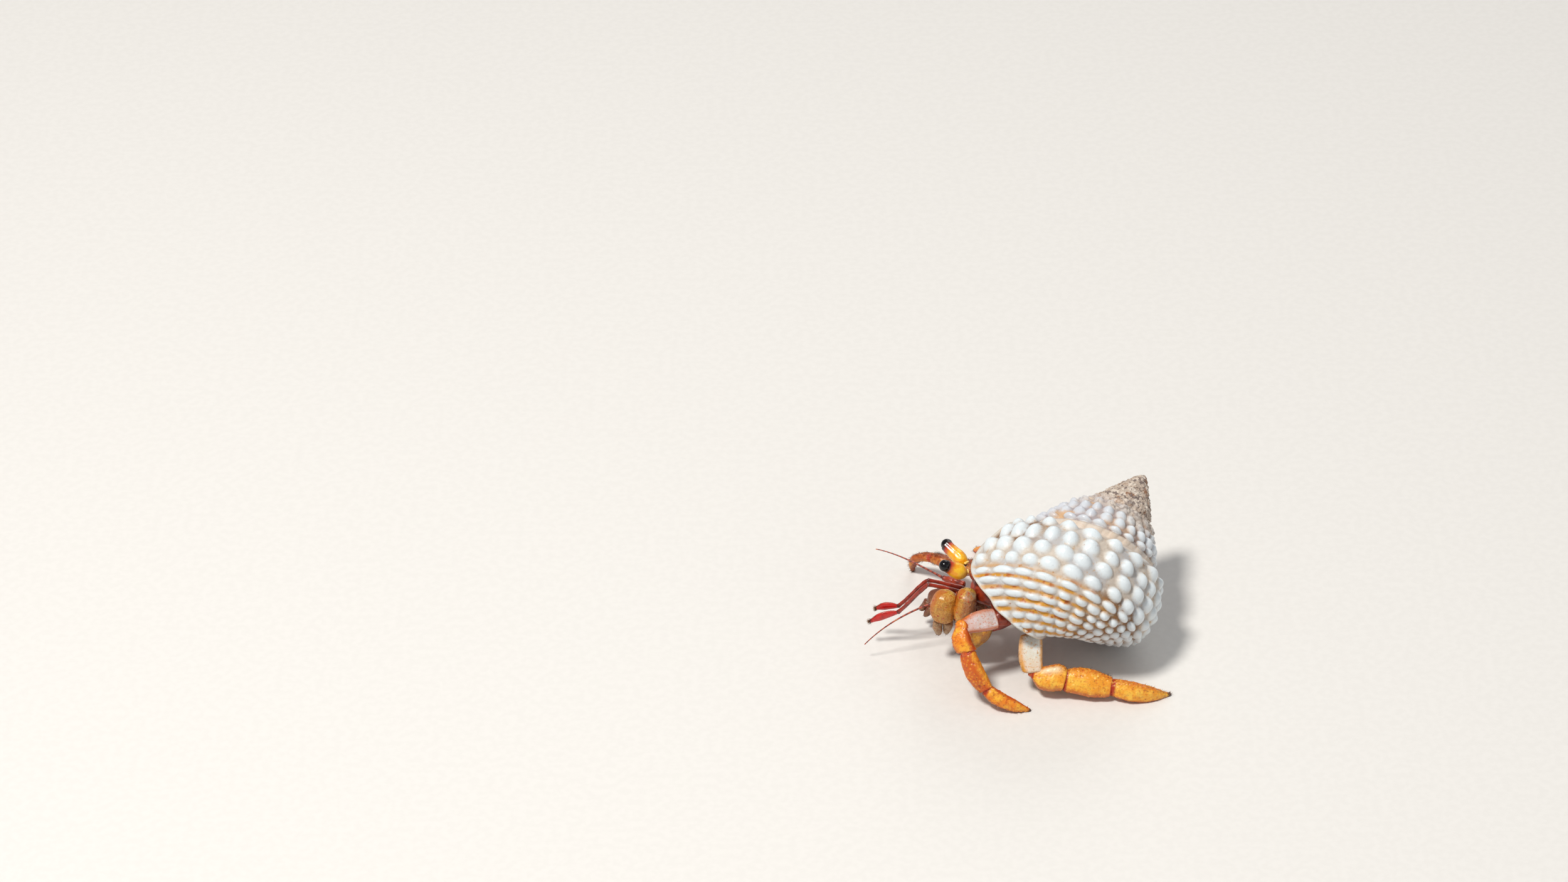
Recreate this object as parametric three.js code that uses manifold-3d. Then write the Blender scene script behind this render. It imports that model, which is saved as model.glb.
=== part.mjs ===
// A land hermit crab walking in a beaded periwinkle shell, life size.
// Millimetres, +Z up, the floor at Z = 0. The crab walks towards -X with its left side at -Y.
import * as THREE from 'three';
import Module from 'manifold-3d';

const wasm = await Module();
wasm.setup();

// ---------------------------------------------------------------- driving dimensions

// Shell: a right-handed spiral that grows by the same ratio in every turn.
const shellApex = new THREE.Vector3(5.61, 10.04, 12.75);
const shellAxisHeading = THREE.MathUtils.degToRad(56.7);
const shellAxisRise = THREE.MathUtils.degToRad(23.6);
const spiralStart = THREE.MathUtils.degToRad(-60.6);
const growthPerRadian = 0.1001;
const beadsPerTurn = 20;
const whorlTurns = 2.5;
const beadHeight = 0.5;
const lipRelief = 0.12;
const apexWear = 0.75;
const spireEnd = -4.6;
const bodyStart = -2.6;
const lastSpireCord = 'fourth';
const columellaHollow = 0.9;
const floorCut = 0.12;

// Each cord of the shell: radius from the axis and drop below the apex, on the body whorl and on
// the spire, the angle at which the lip cuts the cord, and whether it carries beads.
const cords = [
  { name: 'shoulder', radius: 7.75, drop: 11.30, spireRadius: 7.75, spireDrop: 11.30, lip: 1.30, beads: false },
  { name: 'first', radius: 8.75, drop: 12.56, spireRadius: 8.75, spireDrop: 12.56, lip: 1.30, beads: true },
  { name: 'second', radius: 9.34, drop: 14.34, spireRadius: 9.79, spireDrop: 14.55, lip: 1.30, beads: true },
  { name: 'third', radius: 9.74, drop: 16.13, spireRadius: 11.07, spireDrop: 16.70, lip: 1.31, beads: true },
  { name: 'fourth', radius: 9.73, drop: 17.96, spireRadius: 12.24, spireDrop: 19.03, lip: 1.28, beads: true },
  { name: 'fifth', radius: 9.42, drop: 19.44, spireRadius: 11.90, spireDrop: 20.71, lip: 1.19, beads: true },
  { name: 'sixth', radius: 8.61, drop: 20.41, spireRadius: 10.42, spireDrop: 21.45, lip: 1.10, beads: true },
  { name: 'seventh', radius: 7.72, drop: 21.13, spireRadius: 8.87, spireDrop: 21.82, lip: 1.00, beads: true },
  { name: 'eighth', radius: 6.83, drop: 21.69, spireRadius: 7.32, spireDrop: 22.07, lip: 0.95, beads: true },
  { name: 'ninth', radius: 5.80, drop: 22.26, spireRadius: 5.89, spireDrop: 22.32, lip: 0.80, beads: false },
  { name: 'tenth', radius: 4.66, drop: 22.75, spireRadius: 4.66, spireDrop: 22.75, lip: 0.62, beads: false },
  { name: 'basal', radius: 3.10, drop: 22.85, spireRadius: 3.10, spireDrop: 22.85, lip: 0.34, beads: false },
  { name: 'columella', radius: 1.40, drop: 22.10, spireRadius: 1.40, spireDrop: 22.10, lip: 0.22, beads: false },
];

// The hollow of the shell: its section at the spiral's zero angle, radius and drop.
const hollowSection = [
  [6.35, 12.45], [7.55, 13.15], [8.25, 14.6], [8.55, 16.2], [8.45, 17.8], [8.05, 18.95], [7.3, 19.85],
  [6.5, 20.5], [5.5, 21.1], [4.5, 21.45], [3.5, 21.5], [2.5, 21.1], [1.75, 20.3], [1.55, 18.6],
  [1.55, 16.2], [1.75, 14.5], [2.9, 13.75], [4.1, 13.1], [5.25, 12.6],
];
const hollowCentre = [5.2, 17.0];
const hollowOuterAngle = 1.75;
const hollowInnerAngle = -2.75;
const abdomenOuterAngle = 0.6;
const abdomenMiddleAngle = -1.05;
const abdomenInnerAngle = -2.45;
const abdomenFit = 0.90;

// Limbs: rings along each segment and sides round it, and the gap left at a joint.
const limbSides = 8;
const limbRings = 4;
const jointGap = 0.09;
const corneaRadius = 0.58;

// Walking legs: the joints from the body to the tip, the middle of the curved last segment, the
// half depths of the five segments at their middle, and the direction in which they are thin.
const legSegments = ['ischium', 'merus', 'carpus', 'propodus', 'dactyl'];
const legs = {
  leg2_left: {
    joints: [[-8.85, -6.6, 7.0], [-10.3, -6.9, 7.15], [-13.9, -8.4, 7.4], [-13.2, -10.1, 5.2],
      [-11.3, -11.9, 1.95], [-6.7, -12.6, -0.12]],
    curl: [-9.2, -12.6, 1.05],
    depth: [1.0, 1.05, 1.12, 0.9, 0.68],
    thin: [-0.45, -0.7, 0.55],
  },
  leg3_left: {
    joints: [[-6.2, -6.2, 6.4], [-7.0, -7.6, 5.6], [-7.0, -10.0, 2.2], [-3.4, -10.0, 1.95],
      [1.05, -10.5, 1.35], [7.1, -10.1, -0.1]],
    curl: [4.0, -10.95, 0.85],
    depth: [0.9, 1.2, 1.3, 1.3, 0.88],
    thin: [0, -0.8, 0.6],
  },
  leg2_right: {
    joints: [[-9.4, -0.7, 6.3], [-9.8, 0.5, 6.2], [-10.9, 3.5, 5.3], [-12.9, 6.4, 3.3],
      [-15.7, 8.5, 2.95], [-17.6, 10.2, -0.12]],
    curl: [-17.6, 9.7, 1.9],
    depth: [0.85, 1.0, 0.92, 0.80, 0.6],
    thin: [-0.45, 0.7, 0.55],
  },
  leg3_right: {
    joints: [[-7.3, -0.9, 5.6], [-7.7, 0.4, 5.5], [-8.6, 3.9, 4.6], [-9.1, 7.0, 3.1],
      [-9.9, 10.4, 1.7], [-11.4, 13.7, -0.1]],
    curl: [-10.5, 12.4, 0.9],
    depth: [0.85, 1.0, 1.0, 0.95, 0.62],
    thin: [0.45, 0.7, 0.55],
  },
};
const legTaper = [[0.9, 1, 0.95], [0.92, 1, 0.82], [0.72, 1, 0.98], [0.88, 1, 0.82], [0.95, 1, 0.24]];
const legThinness = [0.85, 0.68, 0.76, 0.72, 0.72];

// ---------------------------------------------------------------- materials

const finishes = {
  shell: { color: 0xd9d3c4, roughness: 0.35 },
  shield: { color: 0xb5562a, roughness: 0.4 },
  flesh: { color: 0x7a2f1c, roughness: 0.55 },
  abdomen: { color: 0xb06a4a, roughness: 0.6 },
  claw: { color: 0xc9702a, roughness: 0.45 },
  leg: { color: 0xe07b1c, roughness: 0.4 },
  merus: { color: 0xdcc4b4, roughness: 0.3 },
  stalk: { color: 0xeda42c, roughness: 0.35 },
  cornea: { color: 0x080606, roughness: 0.08 },
  antennule: { color: 0x8e1f12, roughness: 0.3 },
};

function material(finish) {
  return new THREE.MeshStandardMaterial({ ...finishes[finish], metalness: 0 });
}

// ---------------------------------------------------------------- solids

function vec(point) {
  return new THREE.Vector3(point[0], point[1], point[2]);
}

function closedGeometry(points, faces) {
  const positions = new Float32Array(points.flatMap((p) => [p.x, p.y, p.z]));
  const geometry = new THREE.BufferGeometry();
  geometry.setAttribute('position', new THREE.BufferAttribute(positions, 3));
  geometry.setIndex(faces.flat());
  if (signedVolume(points, faces) < 0) {
    geometry.setIndex(faces.map(([a, b, c]) => [a, c, b]).flat());
  }
  return geometry;
}

function signedVolume(points, faces) {
  const edge = new THREE.Vector3();
  let total = 0;
  for (const [a, b, c] of faces) {
    edge.crossVectors(points[b], points[c]);
    total += points[a].dot(edge) / 6;
  }
  return total;
}

function toSolid(geometry) {
  const mesh = new wasm.Mesh({
    numProp: 3,
    vertProperties: new Float32Array(geometry.attributes.position.array),
    triVerts: new Uint32Array(geometry.index.array),
  });
  return new wasm.Manifold(mesh);
}

function toGeometry(solid) {
  const mesh = solid.getMesh();
  const geometry = new THREE.BufferGeometry();
  geometry.setAttribute('position', new THREE.BufferAttribute(new Float32Array(mesh.vertProperties), 3));
  geometry.setIndex(new THREE.BufferAttribute(new Uint32Array(mesh.triVerts), 1));
  return geometry;
}

function indexedBox(width, depth, height, centre) {
  const corners = [];
  for (const z of [-height / 2, height / 2]) {
    corners.push([-width / 2, -depth / 2, z], [width / 2, -depth / 2, z]);
    corners.push([width / 2, depth / 2, z], [-width / 2, depth / 2, z]);
  }
  const points = corners.map((corner) => vec(corner).add(centre));
  const faces = [[0, 2, 1], [0, 3, 2], [4, 5, 6], [4, 6, 7]];
  for (let side = 0; side < 4; side += 1) {
    const next = (side + 1) % 4;
    faces.push([side, next, 4 + next], [side, 4 + next, 4 + side]);
  }
  return closedGeometry(points, faces);
}

const belowFloor = toSolid(indexedBox(90, 90, 10, new THREE.Vector3(0, 0, -5)));

function standOnFloor(geometry) {
  return toGeometry(toSolid(geometry).subtract(belowFloor));
}

// Rings of points joined into a closed tube, with a point in the middle of each end.
function tubeFromRings(rings) {
  const sides = rings[0].length;
  const points = rings.flat();
  const faces = [];
  for (let ring = 0; ring < rings.length - 1; ring += 1) {
    for (let side = 0; side < sides; side += 1) {
      const next = (side + 1) % sides;
      const near = ring * sides;
      const far = near + sides;
      faces.push([near + side, near + next, far + next], [near + side, far + next, far + side]);
    }
  }
  const ends = [rings[0], rings[rings.length - 1]];
  ends.forEach((ring, end) => {
    const middle = new THREE.Vector3();
    ring.forEach((p) => middle.add(p));
    points.push(middle.divideScalar(sides));
    const first = end === 0 ? 0 : (rings.length - 1) * sides;
    for (let side = 0; side < sides; side += 1) {
      const next = (side + 1) % sides;
      const a = first + (end === 0 ? next : side);
      const b = first + (end === 0 ? side : next);
      faces.push([a, b, points.length - 1]);
    }
  });
  return closedGeometry(points, faces);
}

// A segment of a limb or feeler along a smooth line through its points. Width is across the line
// and `up`, height is along `up`; both are half sizes at the start, the middle and the end.
function limb({ through, width, height, up = [0, 0, 1], rings = limbRings, sides = limbSides, round = 0.72 }) {
  const stops = through.map(vec);
  const line = stops.length > 2 ? new THREE.CatmullRomCurve3(stops) : new THREE.LineCurve3(stops[0], stops[1]);
  const length = line.getLength();
  const lifts = vec(up).normalize();
  const trim = jointGap / length;
  const soft = Math.min(0.12, 0.35 * width[0] / length);
  const stations = [[trim, round], [trim + soft, 1]];
  for (let ring = 1; ring < rings; ring += 1) {
    stations.push([trim + soft + (1 - 2 * trim - 2 * soft) * (ring / rings), 1]);
  }
  stations.push([1 - trim - soft, 1], [1 - trim, round]);
  const loops = stations.map(([t, scale]) => {
    const centre = line.getPointAt(t);
    const along = line.getTangentAt(t);
    const across = new THREE.Vector3().crossVectors(along, lifts).normalize();
    const rise = new THREE.Vector3().crossVectors(across, along).normalize();
    const halfWidth = throughThree(width, t) * scale;
    const halfHeight = throughThree(height, t) * scale;
    return Array.from({ length: sides }, (_, side) => {
      const angle = (2 * Math.PI * (side + 0.5)) / sides;
      return centre.clone()
        .addScaledVector(across, halfWidth * Math.cos(angle))
        .addScaledVector(rise, halfHeight * Math.sin(angle));
    });
  });
  return tubeFromRings(loops);
}

// A smooth value that takes three given ones at 0, 0.5 and 1.
function throughThree([first, middle, last], t) {
  const bend = 2 * (first + last - 2 * middle);
  return first + (last - first - bend) * t + bend * t * t;
}

// ---------------------------------------------------------------- shell

const axis = new THREE.Vector3(
  Math.cos(shellAxisHeading) * Math.cos(shellAxisRise),
  Math.sin(shellAxisHeading) * Math.cos(shellAxisRise),
  Math.sin(shellAxisRise),
);
const level = new THREE.Vector3(axis.y, -axis.x, 0).normalize();
const steep = new THREE.Vector3().crossVectors(axis, level);

// The place at a spiral angle, for a radius and drop given at angle zero.
function onSpiral(radius, drop, angle) {
  const growth = Math.exp(growthPerRadian * angle);
  const turn = spiralStart - angle;
  return shellApex.clone()
    .addScaledVector(axis, -drop * growth)
    .addScaledVector(level, radius * growth * Math.cos(turn))
    .addScaledVector(steep, radius * growth * Math.sin(turn));
}

// The cords and the lines between them, each with the outward slope of the whorl there.
function whorlLines() {
  const lines = [];
  cords.forEach((cord, place) => {
    lines.push({ ...cord, between: false });
    const next = cords[place + 1];
    if (cord.beads && next.beads) {
      lines.push({
        name: `under ${cord.name}`,
        radius: (cord.radius + next.radius) / 2,
        drop: (cord.drop + next.drop) / 2,
        spireRadius: (cord.spireRadius + next.spireRadius) / 2,
        spireDrop: (cord.spireDrop + next.spireDrop) / 2,
        lip: cord.lip,
        beads: false,
        between: true,
      });
    }
  });
  lines.forEach((line, place) => {
    const before = lines[Math.max(place - 1, 0)];
    const after = lines[Math.min(place + 1, lines.length - 1)];
    const slope = new THREE.Vector2(after.radius - before.radius, after.drop - before.drop).normalize();
    line.outward = new THREE.Vector2(slope.y, -slope.x);
  });
  return lines;
}

function whorlPoint(line, angle, relief) {
  const spire = 1 - THREE.MathUtils.smoothstep(angle, spireEnd, bodyStart);
  const radius = THREE.MathUtils.lerp(line.radius, line.spireRadius, spire) + relief * line.outward.x;
  const drop = THREE.MathUtils.lerp(line.drop, line.spireDrop, spire) + relief * line.outward.y;
  return onSpiral(radius, drop, angle);
}

// The outer skin of the shell. Columns run along the spiral, lines run along the cords. Line 0 is
// the suture, which lies on the turn before, and the last line is the axis itself.
function shellOutside() {
  const lines = whorlLines();
  const perTurn = 2 * beadsPerTurn;
  const columns = Math.round(whorlTurns * perTurn);
  const joinLine = lines.findIndex((line) => line.name === `under ${lastSpireCord}`) + 1;
  const lastLine = lines.length + 1;
  const points = [];
  const index = new Map();

  function place(column, line) {
    const angle = ((column - columns) * 2 * Math.PI) / perTurn;
    if (line === 0) {
      const seam = lines[joinLine - 1];
      return whorlPoint(seam, angle + seam.lip - 2 * Math.PI, -beadHeight);
    }
    if (line === lastLine) {
      const lowest = lines[lines.length - 1];
      return onSpiral(0, lowest.drop - columellaHollow, angle + lowest.lip);
    }
    const shape = lines[line - 1];
    const beadTop = shape.beads && (column + Math.floor(line / 2)) % 2 === 0;
    const sunk = shape.between || (shape.beads && !beadTop) ? beadHeight : 0;
    return whorlPoint(shape, angle + shape.lip, column === columns ? -lipRelief : -sunk);
  }

  function vertex(column, line) {
    if (line === 0 && column >= perTurn) {
      return vertex(column - perTurn, joinLine);
    }
    const key = `${column} ${line}`;
    if (!index.has(key)) {
      index.set(key, points.length);
      points.push(place(column, line));
    }
    return index.get(key);
  }

  const faces = [];
  for (let column = 0; column < columns; column += 1) {
    const bottom = column >= columns - perTurn ? lastLine : joinLine;
    for (let line = 0; line < bottom; line += 1) {
      const corner = vertex(column, line);
      const opposite = vertex(column + 1, line + 1);
      faces.push([corner, vertex(column + 1, line), opposite]);
      faces.push([corner, opposite, vertex(column, line + 1)]);
    }
  }
  const tip = points.length;
  points.push(shellApex.clone().addScaledVector(axis, -apexWear));
  faces.push(...apexFaces(vertex, tip, perTurn, joinLine));
  faces.push(...mouthFaces(vertex, columns, columns - perTurn, joinLine, lastLine));
  return closedGeometry(points, faces);
}

// The worn tip, over the first turn's suture and the column where the spiral starts.
function apexFaces(vertex, tip, perTurn, joinLine) {
  const rim = [];
  for (let column = 0; column <= perTurn; column += 1) {
    rim.push(vertex(column, 0));
  }
  for (let line = joinLine - 1; line > 0; line -= 1) {
    rim.push(vertex(0, line));
  }
  return rim.map((start, step) => [tip, rim[(step + 1) % rim.length], start]);
}

// The mouth: the section between the lip and the turn inside it, down to the columella.
function mouthFaces(vertex, outer, inner, joinLine, lastLine) {
  const faces = [];
  const suture = vertex(outer, 0);
  for (let line = 1; line < joinLine; line += 1) {
    faces.push([suture, vertex(outer, line + 1), vertex(outer, line)]);
  }
  for (let line = joinLine; line < lastLine - 1; line += 1) {
    const innerNext = vertex(inner, line + 1);
    faces.push([vertex(outer, line), vertex(inner, line), innerNext]);
    faces.push([vertex(outer, line), innerNext, vertex(outer, line + 1)]);
  }
  const lowest = lastLine - 1;
  faces.push([vertex(outer, lowest), vertex(inner, lowest), vertex(inner, lastLine)]);
  for (let column = inner; column < outer; column += 1) {
    faces.push([vertex(outer, lowest), vertex(column, lastLine), vertex(column + 1, lastLine)]);
  }
  return faces;
}

// A length of the hollow between two spiral angles, scaled about its middle by fit.
function hollowLength(outerAngle, innerAngle, fit, step = 0.42) {
  const count = Math.ceil((outerAngle - innerAngle) / step);
  const [middleRadius, middleDrop] = hollowCentre;
  const rings = [];
  for (let ring = 0; ring <= count; ring += 1) {
    const angle = THREE.MathUtils.lerp(outerAngle, innerAngle, ring / count);
    rings.push(hollowSection.map(([radius, drop]) => onSpiral(
      middleRadius + (radius - middleRadius) * fit,
      middleDrop + (drop - middleDrop) * fit,
      angle,
    )));
  }
  return tubeFromRings(rings);
}

const model = new THREE.Group();

function add(name, finish, geometry) {
  const mesh = new THREE.Mesh(geometry, material(finish));
  mesh.name = name;
  model.add(mesh);
}

const hollow = toSolid(hollowLength(hollowOuterAngle, hollowInnerAngle, 1));
const shellSolid = toSolid(shellOutside()).subtract(hollow);
add('shell', 'shell', toGeometry(shellSolid.translate([0, 0, -floorCut]).subtract(belowFloor)));
add('abdomen_front', 'abdomen', hollowLength(abdomenOuterAngle, abdomenMiddleAngle + 0.03, abdomenFit));
add('abdomen_back', 'abdomen', hollowLength(abdomenMiddleAngle - 0.03, abdomenInnerAngle, abdomenFit));

// ---------------------------------------------------------------- body and head

add('thorax', 'flesh', limb({
  through: [[-6.0, -4.9, 8.9], [-9.2, -3.7, 8.4], [-12.3, -2.7, 7.75]],
  width: [2.0, 2.55, 1.6],
  height: [1.5, 1.75, 1.25],
  rings: 6,
  sides: 14,
}));
add('carapace_back', 'flesh', limb({
  through: [[-5.8, -4.7, 11.55], [-7.95, -4.1, 11.2]],
  width: [2.5, 2.4, 1.9],
  height: [1.0, 0.95, 0.6],
  rings: 4,
  sides: 12,
}));
add('shield', 'shield', limb({
  through: [[-8.1, -4.1, 10.75], [-10.3, -3.4, 10.4], [-12.45, -2.55, 9.55]],
  width: [1.8, 2.3, 1.35],
  height: [0.3, 0.36, 0.28],
  up: [0.2, 0, 1],
  rings: 5,
  sides: 12,
}));

function addEye(side, base, tip, fatness) {
  const stalkEnd = vec(base).lerp(vec(tip), 0.74);
  add(`eyestalk_${side}`, 'stalk', limb({
    through: [base, stalkEnd.toArray()],
    width: [0.46, fatness, 0.6],
    height: [0.48, fatness + 0.02, 0.6],
    sides: 10,
  }));
  const centre = vec(base).lerp(vec(tip), 0.86);
  const cornea = new THREE.SphereGeometry(corneaRadius, 10, 7);
  cornea.translate(centre.x, centre.y, centre.z);
  const cut = vec(tip).sub(vec(base)).normalize();
  add(`cornea_${side}`, 'cornea', behindCut(cornea, stalkEnd, cut));
}

// The part of a closed geometry on the far side of a plane through a point.
function behindCut(geometry, point, direction) {
  const merged = closedGeometry(...weld(geometry));
  const normal = direction.toArray();
  const reach = point.dot(direction) + 0.05;
  return toGeometry(toSolid(merged).trimByPlane(normal, reach));
}

// Points and faces of a geometry with the points that coincide merged.
function weld(geometry) {
  const positions = geometry.attributes.position;
  const points = [];
  const seen = new Map();
  const order = [];
  for (let i = 0; i < positions.count; i += 1) {
    const p = new THREE.Vector3().fromBufferAttribute(positions, i);
    const key = p.toArray().map((value) => Math.round(value * 1e4)).join(' ');
    if (!seen.has(key)) {
      seen.set(key, points.length);
      points.push(p);
    }
    order.push(seen.get(key));
  }
  const corners = geometry.index.array;
  const faces = [];
  for (let i = 0; i < corners.length; i += 3) {
    const face = [order[corners[i]], order[corners[i + 1]], order[corners[i + 2]]];
    if (new Set(face).size === 3) {
      faces.push(face);
    }
  }
  return [points, faces];
}

addEye('left', [-12.85, -3.17, 9.4], [-15.45, -3.64, 11.15], 0.8);
addEye('right', [-12.85, -1.75, 9.55], [-15.06, 0.47, 10.68], 0.66);

function feeler(name, finish, through, width, height = width) {
  add(name, finish, limb({ through, width, height, rings: 2 * through.length - 1, sides: 6, round: 0.8 }));
}

for (const [side, shift] of [['left', -0.36], ['right', 0.36]]) {
  const base = [-13.0, -2.35 + shift, 6.9];
  const elbow = [-16.7, -2.0 + shift, 7.75];
  const wrist = [-19.5, -1.8 + shift, 4.15 + 0.25 * shift];
  const lift = side === 'left' ? 0 : 0.75;
  const tip = [-22.4 + 0.8 * lift, -1.6 + 1.4 * shift, 2.75 + 1.2 * lift];
  feeler(`antennule_base_${side}`, 'antennule', [base, elbow], [0.3, 0.26, 0.26]);
  feeler(`antennule_arm_${side}`, 'antennule', [elbow, wrist], [0.26, 0.25, 0.25]);
  const bow = [(wrist[0] + tip[0]) / 2, (wrist[1] + tip[1]) / 2, (wrist[2] + tip[2]) / 2 + 0.3];
  feeler(`antennule_flagellum_${side}`, 'antennule', [wrist, bow, tip], [0.25, 0.27, 0.25], [0.27, 0.52, 0.26]);
}

feeler('antenna_base_left', 'flesh', [[-12.9, -3.6, 6.5], [-15.2, -3.1, 6.45]], [0.45, 0.4, 0.3]);
feeler('antenna_flagellum_left', 'antennule', [
  [-15.2, -3.1, 6.45], [-17.4, -3.4, 5.6], [-19.1, -3.8, 4.85], [-20.8, -4.1, 3.85], [-22.9, -4.3, 1.6],
], [0.27, 0.25, 0.25]);
feeler('antenna_base_right', 'flesh', [[-12.9, -1.1, 6.6], [-15.1, 0.2, 6.6]], [0.45, 0.4, 0.3]);
feeler('antenna_flagellum_right', 'antennule', [
  [-15.1, 0.2, 6.6], [-17.0, 1.0, 7.3], [-18.2, 1.6, 7.55], [-19.9, 2.5, 7.85], [-21.8, 3.4, 7.75],
], [0.27, 0.25, 0.25]);

for (const [side, y] of [['left', -3.35], ['right', -2.35]]) {
  feeler(`maxilliped_${side}`, 'claw', [[-11.8, y, 5.5], [-13.4, y, 5.3], [-14.0, y, 4.2]], [0.42, 0.42, 0.28]);
}

// ---------------------------------------------------------------- claws and legs

function clawLimb(name, finish, shape) {
  add(name, finish, limb({ rings: 4, sides: 10, ...shape }));
}

clawLimb('claw_left_ischium', 'flesh', {
  through: [[-8.3, -4.6, 5.6], [-10.2, -4.6, 4.4]],
  width: [0.75, 0.8, 0.75],
  height: [0.75, 0.8, 0.75],
});
clawLimb('claw_left_merus', 'claw', {
  through: [[-10.3, -4.7, 3.7], [-13.4, -5.05, 3.55]],
  width: [0.85, 1.1, 0.95],
  height: [0.95, 1.25, 1.1],
});
clawLimb('claw_left_carpus', 'claw', {
  through: [[-13.2, -5.3, 5.3], [-13.0, -5.35, 9.1]],
  width: [0.95, 1.15, 0.8],
  height: [0.85, 1.0, 0.7],
  up: [1, 0, 0],
});
clawLimb('claw_left_palm', 'claw', {
  through: [[-14.9, -5.0, 8.7], [-15.2, -4.85, 6.95], [-15.2, -4.75, 5.35]],
  width: [0.8, 1.15, 0.95],
  height: [0.75, 1.17, 0.98],
  up: [1, 0, 0],
});
clawLimb('claw_left_fixed_finger', 'claw', {
  through: [[-14.66, -4.8, 5.2], [-14.86, -4.75, 3.3]],
  width: [0.75, 0.6, 0.28],
  height: [0.52, 0.44, 0.26],
  up: [1, 0, 0],
});
clawLimb('claw_left_dactyl', 'claw', {
  through: [[-15.79, -4.8, 5.2], [-15.55, -4.75, 3.2]],
  width: [0.7, 0.55, 0.28],
  height: [0.48, 0.44, 0.26],
  up: [1, 0, 0],
});
clawLimb('claw_right_merus', 'claw', {
  through: [[-9.6, -1.9, 4.9], [-12.5, -0.7, 4.3]],
  width: [0.65, 0.8, 0.7],
  height: [0.65, 0.8, 0.7],
});
clawLimb('claw_right_carpus', 'claw', {
  through: [[-12.5, -0.6, 4.3], [-14.3, 0.4, 4.4]],
  width: [0.6, 0.8, 0.75],
  height: [0.6, 0.8, 0.75],
});
clawLimb('claw_right_palm', 'claw', {
  through: [[-14.5, 0.5, 4.3], [-16.3, 0.7, 3.2]],
  width: [0.6, 0.9, 0.75],
  height: [0.6, 0.9, 0.75],
});
clawLimb('claw_right_fixed_finger', 'claw', {
  through: [[-16.1, 0.3, 2.85], [-16.9, 0.5, 1.5]],
  width: [0.4, 0.38, 0.25],
  height: [0.36, 0.32, 0.25],
});
clawLimb('claw_right_dactyl', 'claw', {
  through: [[-16.45, 1.05, 3.2], [-17.3, 0.95, 1.9]],
  width: [0.4, 0.38, 0.25],
  height: [0.36, 0.32, 0.25],
});

// A segment cut by the plane that halves the bend at each of its joints, short of it by the gap.
function mitred(geometry, joints, place) {
  const stops = joints.map(vec);
  let solid = toSolid(geometry);
  for (const [joint, side] of [[place, 1], [place + 1, -1]]) {
    if (joint > 0 && joint < stops.length - 1) {
      const before = stops[joint].clone().sub(stops[joint - 1]).normalize();
      const after = stops[joint + 1].clone().sub(stops[joint]).normalize();
      const normal = before.add(after).normalize().multiplyScalar(side);
      solid = solid.trimByPlane(normal.toArray(), stops[joint].dot(normal) + jointGap);
    }
  }
  return toGeometry(solid);
}

for (const [leg, { joints, curl, depth, thin }] of Object.entries(legs)) {
  legSegments.forEach((segment, place) => {
    const height = legTaper[place].map((share) => Math.max(share * depth[place], 0.22));
    const width = height.map((half) => Math.max(half * legThinness[place], 0.22));
    const ends = [joints[place], joints[place + 1]];
    const through = segment === 'dactyl' ? [ends[0], curl, ends[1]] : ends;
    const along = vec(ends[1]).sub(vec(ends[0]));
    const up = new THREE.Vector3().crossVectors(vec(thin), along).toArray();
    const whole = limb({ through, width, height, up });
    const shape = mitred(whole, joints, place);
    const finish = segment === 'merus' ? 'merus' : 'leg';
    add(`${leg}_${segment}`, finish, segment === 'dactyl' ? standOnFloor(shape) : shape);
  });
}

// The middle of the crab's outline stands over the origin.
const outline = new THREE.Box3().setFromObject(model);
const middle = outline.getCenter(new THREE.Vector3());
for (const mesh of model.children) {
  mesh.geometry.translate(-middle.x, -middle.y, 0);
}

export default model;
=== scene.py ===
"""The looks of a land hermit crab that walks in a beaded periwinkle shell, on a pale studio floor.

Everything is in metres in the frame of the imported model. The crab walks towards -X, its left
side is at -Y and the floor is at Z = 0. Lengths given in millimetres are multiplied by MM.
"""
import math

import bpy
import numpy as np
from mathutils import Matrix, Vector


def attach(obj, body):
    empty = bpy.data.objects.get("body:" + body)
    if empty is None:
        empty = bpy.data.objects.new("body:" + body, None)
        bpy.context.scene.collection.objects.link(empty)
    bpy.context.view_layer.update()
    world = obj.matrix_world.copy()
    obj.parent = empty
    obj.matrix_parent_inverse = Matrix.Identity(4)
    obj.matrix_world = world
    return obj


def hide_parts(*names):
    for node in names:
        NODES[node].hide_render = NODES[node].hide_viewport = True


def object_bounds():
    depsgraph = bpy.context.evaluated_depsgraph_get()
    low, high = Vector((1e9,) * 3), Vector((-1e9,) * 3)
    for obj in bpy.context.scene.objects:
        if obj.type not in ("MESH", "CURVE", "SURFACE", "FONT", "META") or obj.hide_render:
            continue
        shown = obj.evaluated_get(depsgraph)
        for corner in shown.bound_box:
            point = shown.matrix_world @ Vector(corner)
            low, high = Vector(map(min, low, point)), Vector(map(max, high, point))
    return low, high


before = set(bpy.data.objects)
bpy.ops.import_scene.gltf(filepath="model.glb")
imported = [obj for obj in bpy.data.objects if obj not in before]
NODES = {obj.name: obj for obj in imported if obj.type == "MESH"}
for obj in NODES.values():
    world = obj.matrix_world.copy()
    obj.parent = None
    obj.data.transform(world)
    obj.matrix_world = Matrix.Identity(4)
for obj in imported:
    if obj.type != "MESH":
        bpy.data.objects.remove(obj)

CAD_BOX = [list(corner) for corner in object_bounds()]
MM = 0.001
TURN = 2 * math.pi


# ------------------------------------------------------------------ numbers and noise

def smoothstep(low, high, value):
    share = np.clip((np.asarray(value, float) - low) / (high - low), 0, 1)
    return share * share * (3 - 2 * share)


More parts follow.
